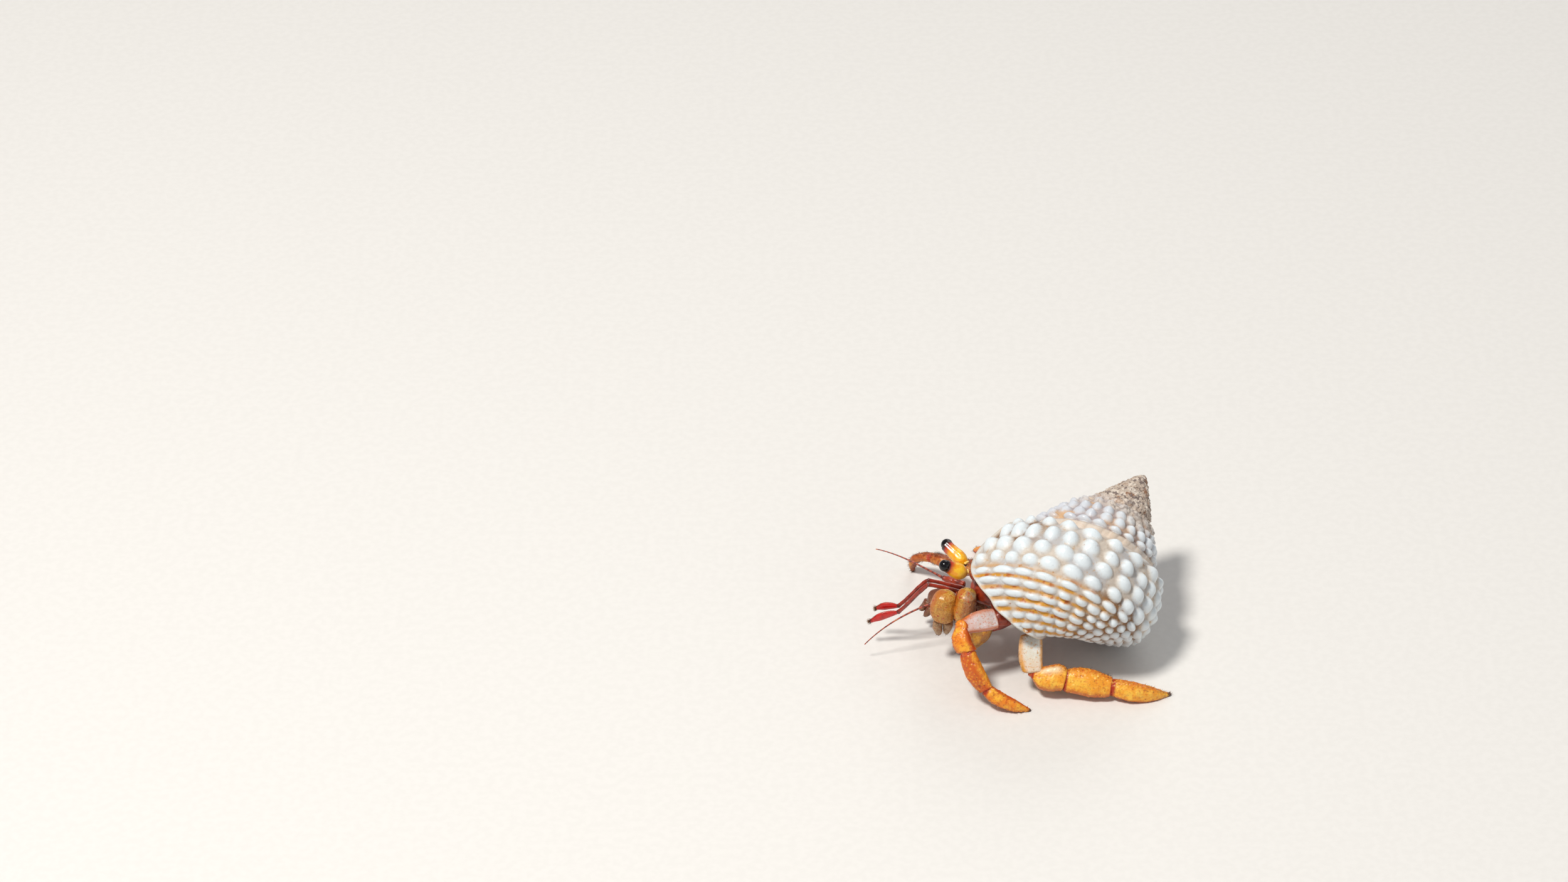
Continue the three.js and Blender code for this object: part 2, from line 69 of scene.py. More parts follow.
def unit(vectors):
    vectors = np.asarray(vectors, float)
    return vectors / np.maximum(np.linalg.norm(vectors, axis=-1, keepdims=True), 1e-12)


def hashed(*keys):
    """A fixed number from 0 to 1 for each set of whole numbers."""
    total = np.zeros(np.broadcast(*keys).shape, float)
    for key, factor in zip(keys, (127.1, 311.7, 74.7)):
        total = total + np.asarray(key, float) * factor
    return np.modf(np.abs(np.sin(total) * 43758.5453))[0]


def smooth_noise(points, cell):
    """Noise from -1 to 1 that changes smoothly over one cell, at points in metres."""
    scaled = np.asarray(points) / cell
    low = np.floor(scaled)
    part = scaled - low
    ease = part * part * (3 - 2 * part)
    total = np.zeros(len(scaled))
    for corner in range(8):
        step = np.array([corner & 1, corner >> 1 & 1, corner >> 2 & 1])
        weight = np.prod(np.where(step, ease, 1 - ease), axis=1)
        total += weight * hashed(*(low + step).T)
    return 2 * total - 1


def grain(points, cell):
    """Rounded grains packed side by side, 1 at each middle and 0 where two meet."""
    scaled = np.asarray(points) / cell
    low = np.floor(scaled)
    nearest = np.full(len(scaled), 9.0)
    second = np.full(len(scaled), 9.0)
    for corner in range(27):
        place = low + np.array([corner % 3, corner // 3 % 3, corner // 9]) - 1
        jitter = np.stack([hashed(*(place + shift).T) for shift in (0.0, 17.0, 41.0)], axis=1)
        distance = np.linalg.norm(scaled - place - jitter, axis=1)
        second = np.minimum(second, np.maximum(nearest, distance))
        nearest = np.minimum(nearest, distance)
    return np.clip((second - nearest) * 1.6, 0, 1)


# ------------------------------------------------------------------ meshes

def placed(name, data):
    """A new object in the scene."""
    made = bpy.data.objects.new(name, data)
    bpy.context.scene.collection.objects.link(made)
    return made


def grid_faces(rows, columns):
    """Quads between neighbouring rows of a grid whose rows are rings."""
    row, column = np.meshgrid(np.arange(rows - 1), np.arange(columns), indexing="ij")
    following = (column + 1) % columns
    corners = (row * columns + column, row * columns + following,
               (row + 1) * columns + following, (row + 1) * columns + column)
    return np.stack([corner.ravel() for corner in corners], axis=1).tolist()


def piece(name, points, faces, finish, replaced=(), masks=None):
    """A smooth mesh that rides on the crab. Masks are numbers at its points for its material."""
    mesh = bpy.data.meshes.new(name)
    mesh.from_pydata(np.asarray(points).tolist(), [], faces)
    mesh.update()
    for mask, values in (masks or {}).items():
        mesh.attributes.new(mask, "FLOAT", "POINT").data.foreach_set("value", np.asarray(values, np.float32))
    mesh.shade_smooth()
    mesh.materials.append(finish)
    made = placed(name, mesh)
    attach(made, "root")
    if replaced:
        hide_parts(*replaced)
    return made


# ------------------------------------------------------------------ materials

# How far light spreads in the skin, as shares for red, green and blue of one length.
SCATTER_RADIUS = (0.9, 0.45, 0.25)
SCATTER_SCALE = 0.4 * MM


class Finish:
    """A procedural material, built as a chain of colours laid over each other."""

    def __init__(self, name, base, roughness=0.4, coat=0.0, subsurface=0.0, specular=0.5):
        self.material = bpy.data.materials.new(name)
        self.material.use_nodes = True
        self.nodes = self.material.node_tree.nodes
        self.links = self.material.node_tree.links
        self.shader = self.nodes["Principled BSDF"]
        self.place = self.nodes.new("ShaderNodeTexCoord").outputs["Object"]
        for socket, value in (("Roughness", roughness), ("Coat Weight", coat), ("Coat Roughness", 0.12),
                              ("Specular IOR Level", specular), ("Subsurface Weight", subsurface),
                              ("Subsurface Radius", SCATTER_RADIUS), ("Subsurface Scale", SCATTER_SCALE)):
            self.shader.inputs[socket].default_value = value
        self.base = (*base, 1)
        self.colour = None
        self.height = None

    def node(self, kind, **sockets):
        """A new node with numbers set on its sockets."""
        node = self.nodes.new("ShaderNode" + kind)
        for socket, value in sockets.items():
            node.inputs[socket.replace("_", " ")].default_value = value
        return node

    def noise(self, size, detail, stretch=None):
        node = self.node("TexNoise", Scale=1 / (size * MM), Detail=detail)
        place = self.place
        if stretch:
            mapping = self.node("Mapping", Scale=stretch)
            self.links.new(place, mapping.inputs["Vector"])
            place = mapping.outputs["Vector"]
        self.links.new(place, node.inputs["Vector"])
        return node.outputs["Fac"]

    def cells(self, size):
        node = self.node("TexVoronoi", Scale=1 / (size * MM))
        self.links.new(self.place, node.inputs["Vector"])
        return node.outputs["Distance"]

    def between(self, value, low, high):
        """A value stretched so that low becomes 0 and high becomes 1."""
        node = self.node("MapRange", From_Min=low, From_Max=high)
        node.interpolation_type = "SMOOTHSTEP"
        self.links.new(value, node.inputs["Value"])
        return node.outputs["Result"]

    def scaled(self, value, low, high):
        """A value from 0 to 1 carried onto low to high."""
        node = self.node("MapRange", To_Min=low, To_Max=high)
        self.links.new(value, node.inputs["Value"])
        return node.outputs["Result"]

    def times(self, first, second):
        """A value times a number or another value."""
        node = self.nodes.new("ShaderNodeMath")
        node.operation = "MULTIPLY"
        self.links.new(first, node.inputs[0])
        if isinstance(second, (int, float)):
            node.inputs[1].default_value = second
        else:
            self.links.new(second, node.inputs[1])
        return node.outputs[0]

    def part(self, value, low, high, share):
        """A value stretched between low and high, times a share that is a number or a mask."""
        return self.times(self.between(value, low, high), share)

    def mask(self, name):
        node = self.nodes.new("ShaderNodeAttribute")
        node.attribute_name = name
        return node.outputs["Fac"]

    def over(self, colour, share):
        """Lays a colour over the ones before it where share is high."""
        node = self.nodes.new("ShaderNodeMix")
        node.data_type = "RGBA"
        self.links.new(share, node.inputs["Factor"])
        if self.colour is None:
            node.inputs["A"].default_value = self.base
        else:
            self.links.new(self.colour, node.inputs["A"])
        node.inputs["B"].default_value = (*colour, 1)
        self.colour = node.outputs["Result"]

    def bump(self, value, depth, strength=1.0):
        """Raises the surface by depth millimetres where value is 1."""
        node = self.node("Bump", Distance=depth * MM, Strength=strength)
        self.links.new(value, node.inputs["Height"])
        if self.height is not None:
            self.links.new(self.height, node.inputs["Normal"])
        self.height = node.outputs["Normal"]

    def done(self):
        self.links.new(self.colour, self.shader.inputs["Base Color"])
        if self.height is not None:
            self.links.new(self.height, self.shader.inputs["Normal"])
        return self.material


def shell_finish():
    """Chalky ground, white beads, ochre dashes, painted shade in the grooves and on the spire's far side, and
    a crusted tip.
    """
    made = Finish("shell", (0.65, 0.58, 0.50))
    broad, middling, fine = made.noise(3.0, 4), made.noise(0.9, 4), made.noise(0.30, 5)
    bead, ochre, shaded_spire, crust = (made.mask(name) for name in ("bead", "ochre", "shaded_spire", "crust"))
    made.over((0.56, 0.57, 0.58), made.between(broad, 0.42, 0.60))
    made.over((0.50, 0.38, 0.26), made.part(fine, 0.52, 0.72, 0.6))
    made.over((0.62, 0.36, 0.14), made.part(made.noise(0.55, 3), 0.60, 0.70, 0.6))
    made.over((0.68, 0.54, 0.42), made.times(made.mask("band"), made.scaled(middling, 0.3, 0.9)))
    made.over((0.76, 0.82, 0.85), bead)
    # Painted shade: the grooves between the beads are darkened, most on the lower rows, on the spire and on
    # the upper rows near the lip.
    made.over((0.22, 0.11, 0.045), made.part(middling, 0.25, 0.55, made.mask("groove")))
    made.over((0.62, 0.28, 0.02), made.part(middling, 0.28, 0.42, ochre))
    made.over((0.42, 0.10, 0.012), made.part(middling, 0.55, 0.64, ochre))
    # Painted shade: the spire's side away from the light is greyed towards lavender.
    made.over((0.50, 0.49, 0.57), made.times(shaded_spire, made.scaled(middling, 0.2, 0.8)))
    stain = made.part(made.noise(1.6, 3), 0.58, 0.66, shaded_spire)
    made.over((0.64, 0.40, 0.22), made.times(stain, made.scaled(bead, 1.0, 0.3)))
    made.over((0.50, 0.52, 0.54), made.part(fine, 0.60, 0.75, 0.35))
    specks = made.between(made.noise(0.55, 6), 0.69, 0.74)
    made.over((0.30, 0.08, 0.03), made.times(specks, made.scaled(bead, 0.9, 0.25)))
    made.over((0.50, 0.40, 0.32), crust)
    made.over((0.70, 0.61, 0.52), made.part(made.noise(1.0, 4), 0.46, 0.58, crust))
    made.over((0.32, 0.17, 0.10), made.part(made.noise(0.8, 4), 0.58, 0.66, crust))
    made.over((0.20, 0.15, 0.13), made.part(made.cells(0.34), 0.55, 0.75, crust))
    made.over((0.30, 0.16, 0.10), made.mask("crack"))
    made.over((0.78, 0.72, 0.62), made.mask("lip"))
    made.over((0.46, 0.31, 0.22), made.mask("inside"))
    made.links.new(made.scaled(bead, 0.55, 0.28), made.shader.inputs["Roughness"])
    made.bump(made.noise(0.12, 3), 0.02)
    made.bump(made.cells(0.30), 0.015, 0.6)
    return made.done()


# ------------------------------------------------------------------ shell

# The spiral is the solid shell's own: the heading and rise of its axis, the angle where the spiral
# starts and its growth for each radian.
AXIS_HEADING = math.radians(56.7)
AXIS_RISE = math.radians(23.6)
SPIRAL_START = math.radians(-60.6)
GROWTH = 0.1001
APEX_WEAR = 0.75 * MM
SPIRE_END, BODY_START = -4.6, -2.6
BEAD_HEIGHT = 0.56
LIP_DROP = -0.32
SHOULDER_SINK = 0.35

AXIS = np.array([math.cos(AXIS_HEADING) * math.cos(AXIS_RISE),
                 math.sin(AXIS_HEADING) * math.cos(AXIS_RISE),
                 math.sin(AXIS_RISE)])
LEVEL = unit([AXIS[1], -AXIS[0], 0])
STEEP = np.cross(AXIS, LEVEL)

# Each cord: radius and drop on the body whorl, on the spire, the lip's angle, the beads in a turn,
# the angle of one bead, how they crowd towards the lip, and how long and how high they are.
CORDS = [
    (7.75, 11.30, 7.75, 11.30, 1.30, 23.0, 0.00, 0.20, 0.90, 0.8),
    (8.75, 12.56, 8.75, 12.56, 1.30, 19.4, -0.07, 0.30, 0.86, 1.0),
    (9.34, 14.34, 9.79, 14.55, 1.30, 25.6, -0.07, 0.22, 1.00, 1.0),
    (9.74, 16.13, 11.07, 16.70, 1.31, 25.5, -0.09, 0.16, 1.00, 1.0),
    (9.73, 17.96, 12.24, 19.03, 1.28, 24.3, -0.06, 0.30, 1.00, 1.0),
    (9.42, 19.44, 11.90, 20.71, 1.19, 24.7, -0.10, 0.08, 1.00, 0.9),
    (8.61, 20.41, 10.42, 21.45, 1.10, 34.5, -0.04, -0.22, 1.05, 0.8),
    (7.72, 21.13, 8.87, 21.82, 1.00, 32.3, 0.08, -0.20, 1.05, 0.7),
    (6.83, 21.69, 7.32, 22.07, 0.95, 25.5, 0.09, -0.08, 1.00, 0.6),
    (5.80, 22.26, 5.89, 22.32, 0.80, 28.0, 0.00, 0.00, 1.00, 0.4),
    (4.66, 22.75, 4.66, 22.75, 0.62, 30.0, 0.10, 0.00, 1.00, 0.3),
    (3.10, 22.85, 3.10, 22.85, 0.34, 26.0, 0.00, 0.00, 1.00, 0.2),
    (1.40, 22.10, 1.40, 22.10, 0.22, 22.0, 0.00, 0.00, 0.00, 0.0),
    (0.00, 21.20, 0.00, 21.20, 0.22, 22.0, 0.00, 0.00, 0.00, 0.0),
]
RADIUS, DROP, SPIRE_RADIUS, SPIRE_DROP, LIP = range(5)
# The angle where beads start to crowd, and the place on a whorl that the next turn covers.
CROWDED_FROM = 0.2
SPIRE_LINE = 4.5
# Radius and drop of points round the wall of the hollow, on a cut through the last turn.
HOLLOW = [
    (6.35, 12.45), (7.55, 13.15), (8.25, 14.6), (8.55, 16.2), (8.45, 17.8), (8.05, 18.95), (7.3, 19.85),
    (6.5, 20.5), (5.5, 21.1), (4.5, 21.45), (3.5, 21.5), (2.5, 21.1), (1.75, 20.3), (1.55, 18.6),
    (1.55, 16.2), (1.75, 14.5), (2.9, 13.75), (4.1, 13.1), (5.25, 12.6),
]
HOLLOW_CENTRE = (5.2, 17.0)
# How many turns are modelled, and the points in a turn, between two cords and on the band above them.
SHELL_TURNS = 3.75
SHELL_COLUMNS = 440
LINES_PER_CORD = 12
BAND_LINES = 16
TIP_RINGS = 12
HOLLOW_RINGS = 60
HOLLOW_DEPTH = 3.9
LIP_THICKNESS = 0.42
BAND_SPAN = (2.6, 1.3)
TIP_ROUNDING = 2.2
# The lip is bevelled inward, flares over the first part of the hollow and stands out by a small angle.
LIP_INSET = 0.42
FLARE_DEPTH = 0.7
LIP_OVERHANG = 0.012
LIP_RINGS = 4


def shell_apex():
    """Where the spiral shrinks to nothing, a worn tip's length beyond the solid shell's tip."""
    points = np.array([corner.co for corner in NODES["shell"].data.vertices])
    tip = points[np.argmax(points @ AXIS)]
    return tip + AXIS * APEX_WEAR


def on_spiral(apex, radius, drop, angle):
    """Points in the frame, from radius and drop in millimetres at the spiral's zero angle."""
    growth = np.exp(GROWTH * angle) * MM
    turned = SPIRAL_START - angle
    along = -(drop * growth)[..., None] * AXIS
    way = np.cos(turned)[..., None] * LEVEL + np.sin(turned)[..., None] * STEEP
    return apex + along + (radius * growth)[..., None] * way


def cord_values(line, column):
    """One column of the cord table at a place between cords, smoothly."""
    table = np.array([cord[column] for cord in CORDS], float)
    low = np.clip(np.floor(line).astype(int), 0, len(table) - 2)
    part = line - low
    before, here = table[np.maximum(low - 1, 0)], table[low]
    after, last = table[low + 1], table[np.minimum(low + 2, len(table) - 1)]
    return 0.5 * (2 * here + (after - before) * part + (2 * before - 5 * here + 4 * after - last) * part ** 2
                  + (3 * here - before - 3 * after + last) * part ** 3)


def whorl_profile(line, angle):
    """Radius, drop and outward direction of the bead tops at places on the whorl."""
    spire = 1 - smoothstep(SPIRE_END, BODY_START, angle)

    def at(place):
        radius = cord_values(place, RADIUS) * (1 - spire) + cord_values(place, SPIRE_RADIUS) * spire
        drop = cord_values(place, DROP) * (1 - spire) + cord_values(place, SPIRE_DROP) * spire
        return radius, drop

    radius, drop = at(line)
    ahead, behind = at(np.minimum(line + 0.05, len(CORDS) - 1)), at(np.maximum(line - 0.05, 0))
    slope = unit(np.stack([ahead[0] - behind[0], ahead[1] - behind[1]], axis=-1))
    return radius, drop, slope[..., 1], -slope[..., 0]


def bead_line(line, angle):
    """The rows of beads climb a little towards the lip, most of all the lower ones."""
    climb = 0.17 + 0.33 * np.clip(angle, -0.8, 1.2)
    return line + climb * (0.5 + 0.5 * smoothstep(3.6, 5.2, line)) + 0.14 * smoothstep(2.0, 0.8, line)


def beads(line, angle):
    """Height of the beads from 0 to 1, their whiteness, the grooves, and dashes of ochre below them."""
    height, dash = np.zeros(line.shape), np.zeros(line.shape)
    nearest = np.full(line.shape, 9.0)
    line = bead_line(line, angle)
    for number, cord in enumerate(CORDS):
        per_turn, first, crowding, length, top = cord[5:]
        if top == 0:
            continue
        pitch = TURN / per_turn
        crowded = angle + crowding * np.maximum(angle - CROWDED_FROM, 0) ** 2
        for neighbour in (-1, 0, 1):
            index = np.round((crowded - first) / pitch) + neighbour
            size = 0.88 + 0.26 * hashed(index, number)
            place = first + (index + 0.16 * (hashed(index, number + 31) - 0.5)) * pitch
            across_shift = 0.12 * (hashed(index, number + 57) - 0.5)
            near_lip = smoothstep(-0.6, 0.9, place) * smoothstep(3.0, 5.0, number)
            along = (crowded - place) / (0.47 * pitch * length * size)
            across = (line - number - across_shift) / (0.50 * size * (1 - 0.25 * near_lip))
            slant = across + 0.25 * along * (1 - near_lip)
            far = np.sqrt(along ** 2 + slant ** 2)
            cap = np.clip(1 - far ** 2, 0, 1) ** (1.30 - 0.45 * near_lip) * (1 - 0.34 * np.clip(slant, -1, 1))
            tall = top * (0.88 + 0.18 * hashed(index, number + 83)) * (1 - 0.42 * near_lip)
            height = np.maximum(height, np.clip(tall * cap, 0, 1))
            nearest = np.minimum(nearest, far)
            below = smoothstep(0.25, 0.10, np.abs(line - number - 0.52))
            below = below * smoothstep(1.35, 0.55, np.abs(along))
            dash = np.maximum(dash, below * (0.35 + 0.65 * hashed(index, number + 11)))
    return height, smoothstep(1.08, 0.55, nearest), smoothstep(0.90, 1.04, nearest), dash


def shell_grid(apex):
    """The outer skin of the shell as a grid of points, with the masks for its material."""
    steps = int(round(SHELL_TURNS * SHELL_COLUMNS))
    lines = np.concatenate([np.linspace(-1, 0, BAND_LINES, endpoint=False),
                            np.linspace(0, len(CORDS) - 1, (len(CORDS) - 1) * LINES_PER_CORD + 1)])
    turned = (np.arange(steps + 1) - steps) * TURN / SHELL_COLUMNS
    column, line = np.meshgrid(turned, lines, indexing="ij")
    place = np.maximum(line, 0)
    lip = cord_values(place, LIP)
    seam_lip = float(cord_values(np.array([SPIRE_LINE]), LIP)[0])
    angle = column + lip
    radius, drop, out_radius, out_drop = whorl_profile(place, angle)
    height, white, groove, dash = beads(line, angle)

    # The beads fade out on the band under the suture, at the lip and at the worn tip. The band is
    # broad on the front of the last turn and narrow everywhere else.
    rim = smoothstep(0.0, 0.03, -column)
    patchy = smooth_noise(np.stack([angle, line, line], axis=-1).reshape(-1, 3), 0.6).reshape(line.shape)
    worn = smoothstep(8.2, 4.6, drop * np.exp(GROWTH * angle) + 1.2 * patchy)
    band_end = -0.58 + 0.83 * smoothstep(-1.7, -1.0, angle)
    band = smoothstep(band_end + 0.13, band_end - 0.13, line)
    keep = rim * (1 - worn) * (1 - band)
    height, white = height * keep, white * keep

    older = 1 + 0.4 * smoothstep(-1.2, -2.6, angle)
    relief = older * (BEAD_HEIGHT * (height - 1) - 0.08 * groove * (1 - band)) * rim + (1 - rim) * LIP_DROP
    relief -= SHOULDER_SINK * smoothstep(0.8, 0.0, line) * smoothstep(-0.8, 0.4, angle)
    level = on_spiral(apex, radius, drop, angle)
    points = on_spiral(apex, radius + relief * out_radius, drop + relief * out_drop, angle)

    # Above the first cord the skin runs up to the turn before it, along the suture.
    seam_index = int(np.argmin(np.abs(lines - SPIRE_LINE)))
    seam = np.empty((steps + 1, 3))
    seam[SHELL_COLUMNS:] = points[:-SHELL_COLUMNS, seam_index]
    early = turned[:SHELL_COLUMNS] + seam_lip - TURN
    early_radius, early_drop, early_out, early_down = whorl_profile(np.full(SHELL_COLUMNS, SPIRE_LINE), early)
    seam[:SHELL_COLUMNS] = on_spiral(apex, early_radius - BEAD_HEIGHT * early_out,
                                     early_drop - BEAD_HEIGHT * early_down, early)
    share = (lines[:BAND_LINES] + 1)[None, :, None]
    shoulder = level[:, BAND_LINES][:, None, :]
    raised = (points - level)[:, :BAND_LINES] * smoothstep(0, 0.45, share)
    points[:, :BAND_LINES] = seam[:, None, :] * (1 - share) + shoulder * share + raised

    row = bead_line(place, angle)
    lower = smoothstep(4.2, 4.9, row) * smoothstep(11.4, 10.6, row)
    between = np.abs(np.modf(row)[0] - 0.5)
    ochre = 1.15 * dash + 0.30 * smoothstep(0.16, 0.08, between)
    ribs = smoothstep(0.18, 0.34, between) * lower * smoothstep(-0.6, 0.5, angle)
    # How strongly the grooves are darkened as painted shade, over the shell.
    groove_shade = smoothstep(3.4, 4.6, row) * smoothstep(0.2, -0.5, angle) + 0.6 * smoothstep(-1.6, -2.6, angle)
    groove_shade = groove_shade + 0.25 + smoothstep(0.6, 1.0, angle) * smoothstep(3.5, 2.5, row)
    # The side of the spire that faces away from the light, for its painted shade.
    sunless = 0.35 + 0.65 * smoothstep(-0.6, 0.5, np.cos(angle + 4.4))
    masks = {
        "bead": np.maximum(white, 0.45 * ribs),
        "band": band * smoothstep(-0.98, -0.8, line),
        "ochre": np.clip(ochre, 0, 1) * lower * smoothstep(-0.9, 0.2, angle),
        "groove": groove * keep * np.clip(groove_shade, 0, 1),
        "shaded_spire": smoothstep(-1.5, -2.8, angle) * sunless,
        "crust": worn,
        "crack": smoothstep(-0.90, -0.98, line) * 0.7,
        "lip": smoothstep(0.02, 0.0, -column),
    }
    return points, lines, seam_index, masks


def hollow_section(direction):
    """Radius and drop of the hollow's wall in a direction round its middle."""
    outline = np.array(HOLLOW, float) - HOLLOW_CENTRE
    bearing = np.arctan2(outline[:, 0], outline[:, 1])
    order = np.argsort(bearing)
    bearing, reach = bearing[order], np.hypot(*outline[order].T)
    bearing = np.concatenate([bearing - TURN, bearing, bearing + TURN])
    reach = np.tile(reach, 3)
    far = np.interp(direction, bearing, reach)
    return HOLLOW_CENTRE[0] + far * np.sin(direction), HOLLOW_CENTRE[1] + far * np.cos(direction)


def ring_faces(outer, inner):
    """Quads between two rings of point numbers."""
    return np.stack([outer, inner, np.roll(inner, -1), np.roll(outer, -1)], axis=1).tolist()


def worn_tip(points, rim, apex):
    """The points and faces of a rounded cap that closes the first turn."""
    summit = apex - AXIS * APEX_WEAR
    below = points[rim] - summit
    fall = (below @ AXIS)[:, None] * AXIS
    faces, ring = [], rim
    for left in 1 - np.arange(1, TIP_RINGS) / TIP_RINGS:
        current = len(points) + np.arange(len(rim))
        points = np.vstack([points, summit + (below - fall) * left + fall * left ** TIP_ROUNDING])
        faces += ring_faces(ring, current)
        ring = current
    faces += [(len(points), following, here) for here, following in zip(ring, np.roll(ring, -1))]
    return np.vstack([points, summit]), faces


def dug_hollow(points, edge, turned, line, apex):
    """The points and faces of the hollow, from the mouth's edge to the point that closes it."""
    place, above = np.maximum(line, 0), np.minimum(line, 0)
    scale = np.exp(GROWTH * turned)
    radius = (cord_values(place, RADIUS) + BAND_SPAN[0] * above) * scale
    drop = (cord_values(place, DROP) + BAND_SPAN[1] * above) * scale
    lip = cord_values(place, LIP)
    wall_radius, wall_drop = hollow_section(np.arctan2(radius - HOLLOW_CENTRE[0], drop - HOLLOW_CENTRE[1]))
    gap = np.hypot(radius - wall_radius, drop - wall_drop)
    flare = np.clip(gap - LIP_INSET - LIP_THICKNESS, 0, None) / np.maximum(gap, 1e-6) * (turned == 0)
    flared_radius = wall_radius + (radius - wall_radius) * flare
    flared_drop = wall_drop + (drop - wall_drop) * flare
    faces, ring = [], edge
    for depth in HOLLOW_DEPTH * np.linspace(0, 1, HOLLOW_RINGS) ** 1.4:
        share = 1 - smoothstep(0, FLARE_DEPTH, depth)
        angle = lip - depth + (LIP_OVERHANG if depth == 0 else 0)
        current = len(points) + np.arange(len(edge))
        points = np.vstack([points, on_spiral(apex, wall_radius * (1 - share) + flared_radius * share,
                                              wall_drop * (1 - share) + flared_drop * share, angle)])
        faces += ring_faces(ring, current)
        ring = current
    faces += [(len(points), following, here) for here, following in zip(ring, np.roll(ring, -1))]
    return np.vstack([points, points[ring].mean(axis=0)]), faces


def build_shell():
    """The whole shell as one closed skin: its outside, its worn tip and its hollow."""
    apex = shell_apex()
    grid, lines, seam, masks = shell_grid(apex)
    steps, count = grid.shape[0] - 1, len(lines)
    last_turn = steps - SHELL_COLUMNS

    # Each turn but the last stops at the seam, and its points there are the next turn's first line.
    used = np.zeros((steps + 1, count), bool)
    used[:, 1:seam + 1] = True
    used[last_turn:, 1:] = True
    used[:SHELL_COLUMNS, 0] = True
    number = -np.ones((steps + 1, count), int)
    number[used] = np.arange(used.sum())
    number[SHELL_COLUMNS:, 0] = number[:-SHELL_COLUMNS, seam]
    points = grid[used]
    faces = []
    for column in range(steps):
        bottom = count - 1 if column >= last_turn else seam
        near, far = number[column, :bottom + 1], number[column + 1, :bottom + 1]
        faces += np.stack([near[:-1], far[:-1], far[1:], near[1:]], axis=1).tolist()

    rim = np.concatenate([number[:SHELL_COLUMNS + 1, 0], number[0, seam - 1:0:-1]])
    tip_start = len(points)
    points, more = worn_tip(points, rim, apex)
    faces += more

    # The edge of the mouth: down the lip, up the axis and back along the turn inside.
    mouth = [(steps, line) for line in range(count)]
    mouth += [(column, count - 1) for column in range(steps - 1, last_turn, -1)]
    mouth += [(last_turn, line) for line in range(count - 1, seam, -1)]
    columns, places = np.array(mouth).T
    hollow_start = len(points)
    turned = (columns - steps) * TURN / SHELL_COLUMNS
    points, more = dug_hollow(points, number[columns, places], turned, lines[places], apex)
    faces += more

    lip_end = hollow_start + LIP_RINGS * len(mouth)
    values = {name: np.append(mask[used], np.zeros(len(points) - tip_start)) for name, mask in masks.items()}
    values["crust"][rim] = 1
    values["crust"][tip_start:hollow_start] = 1
    values["lip"][hollow_start:lip_end] = 1
    values["inside"] = np.arange(len(points)) >= lip_end

    # Crusted grains on the tip, and a faint unevenness all over.
    lumps = 0.15 * grain(points, 0.42 * MM) + 0.16 * smooth_noise(points, 1.1 * MM) - 0.12
    rough = (values["crust"] * lumps)[:, None] * MM
    centre = apex - AXIS * (((apex - points) @ AXIS)[:, None])
    points = points + unit(points - centre) * rough
    points += unit(points - centre) * (0.018 * MM * smooth_noise(points, 0.5 * MM))[:, None]
    points[:, 2] = np.maximum(points[:, 2], 0)
    piece("beaded_shell", points, faces, shell_finish(), ["shell"], values)


# ------------------------------------------------------------------ limbs read from the solids

def corners_of(node):
    return np.array([corner.co for corner in NODES[node].data.vertices])


def triangles(node):
    mesh = NODES[node].data
    mesh.calc_loop_triangles()
    return corners_of(node)[np.array([face.vertices[:] for face in mesh.loop_triangles])]


def joint_between(one, other):
    """The middle of where two solids face each other."""
    first, second = corners_of(one), corners_of(other)
    distance = np.linalg.norm(first[:, None] - second[None], axis=2)
    limit = distance.min() + 0.35 * MM
    near_first = first[distance.min(axis=1) < limit].mean(axis=0)
    near_second = second[distance.min(axis=0) < limit].mean(axis=0)
    return (near_first + near_second) / 2


def far_end(node, place):
    """The tip of a solid that is farthest from a place."""
    points = corners_of(node)
    distance = np.linalg.norm(points - place, axis=1)
    return points[distance > distance.max() - 0.12 * MM].mean(axis=0)


def cut(faces, direction, at):
    """Where a plane across a direction cuts the edges of triangles."""
    heights = faces @ direction - at
    found = []
    for one, two in ((0, 1), (1, 2), (2, 0)):
        crossing = heights[:, one] * heights[:, two] < 0
        share = (heights[crossing, one] / (heights[crossing, one] - heights[crossing, two]))[:, None]
        found.append(faces[crossing, one] * (1 - share) + faces[crossing, two] * share)
    return np.concatenate(found)


# Where a solid's section is measured along it, how much wider the skin is, and its least half width.
SECTIONS = np.array([0.12, 0.2, 0.3, 0.4, 0.5, 0.6, 0.7, 0.8, 0.88])
SKIN_GROWTH = 1.05
LEAST_HALF = 0.05 * MM


